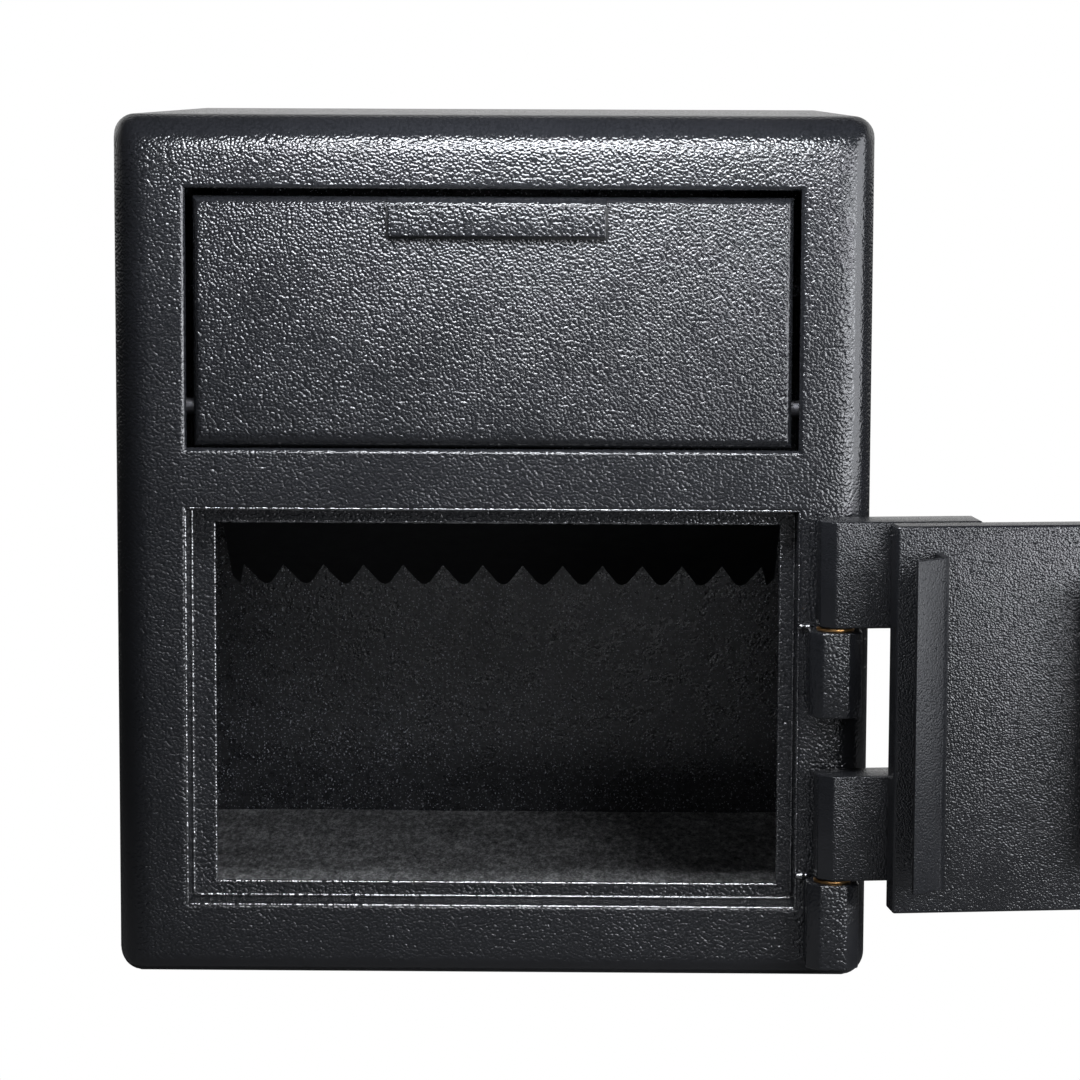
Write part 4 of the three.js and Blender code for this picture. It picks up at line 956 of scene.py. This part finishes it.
def makePointer(size, knob):
    x, z, front = knob["x"], knob["z"], knob["ringY"][0]
    levels = (z + knob["ringInner"] + size["pointerStart"], z + knob["ringOuter"] - size["pointerEnd"])
    pointer = startCube("dialPointer", (x - size["pointerHalf"], x + size["pointerHalf"]),
                        (front - size["pointerFront"], front + size["pointerBack"]), levels)
    bevelSharp(pointer, size["pointerEdge"], segments=2)
    dress(pointer, "door", "dial_black", look=whiteInk)


makeRing(dial)
makeKnob(dial)
makeScale(scale, dial)
makePointer(scale, dial)
print("dial made")


# Locking bolts

bolts = {"x": (-126.0, -102.6), "tailX": -92.3, "y": -147.9, "levels": (84.85, 129.85, 174.85), "radius": 7.5,
         "tailRadius": 4.0, "tip": 1.6}


def makeBolts(size):
    shank = startBar("lockingBolt_1", "x", (size["y"], size["levels"][0]), size["x"], size["radius"])
    bevelEdges(shank, size["tip"], 3, lambda edge: lies(edge, "x", size["x"][0]))
    tail = startBar("tail", "x", (size["y"], size["levels"][0]), (size["x"][1] - 1, size["tailX"]),
                    size["tailRadius"], corners=32)
    made = [joinPieces("lockingBolt_1", [shank, tail])]
    for number, level in enumerate(size["levels"][1:], 2):
        made.append(copyPiece(made[0], f"lockingBolt_{number}", (0, 0, level - size["levels"][0])))
    for number, bolt in enumerate(made, 1):
        dress(bolt, "boltwork", "steel", [f"locking_bolt_{number}"])


makeBolts(bolts)
print("bolts made")


# Camera, floor and light

view = {"place": (46.5, -1978.4, 423.1), "yaw": 0.761, "pitch": -6.792, "roll": -0.224, "sensor": 36,
        "focal": 3872, "frame": 1080, "farthest": 100}   # focal and frame in pixels, farthest in metres


def makeCamera(size):
    bpy.ops.object.camera_add()
    camera = bpy.context.object
    yaw, pitch, roll = (math.radians(size[key]) for key in ("yaw", "pitch", "roll"))
    turned = Matrix.Rotation(yaw, 3, "Z") @ Matrix.Rotation(pitch, 3, "X") @ Matrix.Rotation(roll, 3, "Y")
    toCamera = Matrix(((1, 0, 0), (0, 0, -1), (0, 1, 0)))   # a camera looks along its own -Z
    camera.matrix_world = Matrix.Translation(Vector(size["place"]) * mm) @ (turned @ toCamera).to_4x4()
    camera.data.sensor_width = size["sensor"]
    camera.data.lens = size["focal"] / size["frame"] * size["sensor"]
    camera.data.clip_end = size["farthest"]
    bpy.context.scene.camera = camera


makeCamera(view)

white = (1, 1, 1, 1)
ground = {"width": 24, "colour": (0.15, 0.15, 0.15, 1), "gloss": 0.7, "shine": 0.1}   # width in metres


def makeFloor(size):   # white to the camera and grey to the light
    clearSelection()
    bpy.ops.mesh.primitive_plane_add(size=size["width"])
    floor = settle("floor")
    material, tree, surface, coords = startMaterial("paleFloor")
    surface.inputs["Base Color"].default_value = size["colour"]
    surface.inputs["Roughness"].default_value = size["gloss"]
    surface.inputs["Specular IOR Level"].default_value = size["shine"]
    glow = addNode(tree, "Emission", {"Color": white, "Strength": 1.0})
    isSeen = addNode(tree, "LightPath").outputs["Is Camera Ray"]
    mixed = addNode(tree, "MixShader", {0: isSeen, 1: surface.outputs["BSDF"], 2: glow.outputs["Emission"]})
    tree.links.new(mixed.outputs["Shader"], tree.nodes["Material Output"].inputs["Surface"])
    floor.data.materials.append(material)


makeFloor(ground)

lampColour = (0.93, 0.95, 1.0)
lamps = {   # place, aim and size in metres, then watts
    "topSoftbox": ((0.02, -0.37, 0.49), (0.02, -0.178, 0.34), (0.30, 0.08), 3.3),
    "rightSoftbox": ((0.68, -0.80, 0.27), (0.2, -0.18, 0.14), (0.5, 0.30), 6.4),
    "sideSoftbox": ((0.85, -0.40, 0.34), (0.18, -0.17, 0.25), (0.5, 0.7), 5.6),
    "highKey": ((0.9, -2.6, 1.2), (0, 0, 0.1), (0.5, 0.4), 17),
    "lowFill": ((0.0, -1.4, 0.03), (0, 0, 0.12), (0.3, 0.1), 0.42),
    "leftKey": ((-0.6, -2.6, 1.2), (0, 0, 0.1), (0.5, 0.4), 4.5),
}


def makeLamps():
    for name, (place, aim, size, power) in lamps.items():
        clearSelection()
        bpy.ops.object.light_add(type="AREA", location=place)
        lamp = bpy.context.object
        lamp.name = name
        lamp.data.shape = "RECTANGLE"
        lamp.data.size, lamp.data.size_y = size
        lamp.data.energy = power
        lamp.data.color = lampColour
        lamp.rotation_euler = (Vector(aim) - Vector(place)).to_track_quat("-Z", "Y").to_euler()


makeLamps()

room = {   # reflections see the room pale behind the object, and dark in front of it and above
    "behindFrom": (0, 0.95), "behind": (0.02, 0.72), "aboveFrom": (0.25, 0.7), "above": (1.0, 0.15),
    "spill": 0.06,
}


def makeWorld(size):   # white to the camera, dim to everything else but reflections
    world = bpy.data.worlds.new("studio")
    bpy.context.scene.world = world
    world.use_nodes = True
    tree = world.node_tree
    tree.nodes.clear()
    rays = addNode(tree, "LightPath")
    toward = addNode(tree, "SeparateXYZ", {0: addNode(tree, "TexCoord").outputs["Generated"]})
    behind = spread(tree, toward.outputs["Y"], *size["behindFrom"], *size["behind"])
    above = spread(tree, toward.outputs["Z"], *size["aboveFrom"], *size["above"])
    seen = addNode(tree, "Background", {"Color": white, "Strength": 1.0})
    mirrored = addNode(tree, "Background", {"Color": white, "Strength": scaled(tree, behind, above)})
    spill = addNode(tree, "Background", {"Color": white, "Strength": size["spill"]})
    shiny = combine(tree, rays.outputs["Is Glossy Ray"], rays.outputs["Is Transmission Ray"], "MAXIMUM")
    soft = addNode(tree, "MixShader", {0: shiny, 1: spill.outputs[0], 2: mirrored.outputs[0]})
    whole = addNode(tree, "MixShader", {0: rays.outputs["Is Camera Ray"], 1: soft.outputs[0], 2: seen.outputs[0]})
    output = addNode(tree, "OutputWorld")
    tree.links.new(whole.outputs[0], output.inputs["Surface"])


makeWorld(room)
bpy.context.scene.view_settings.view_transform = "Standard"
print("camera, floor and light made")
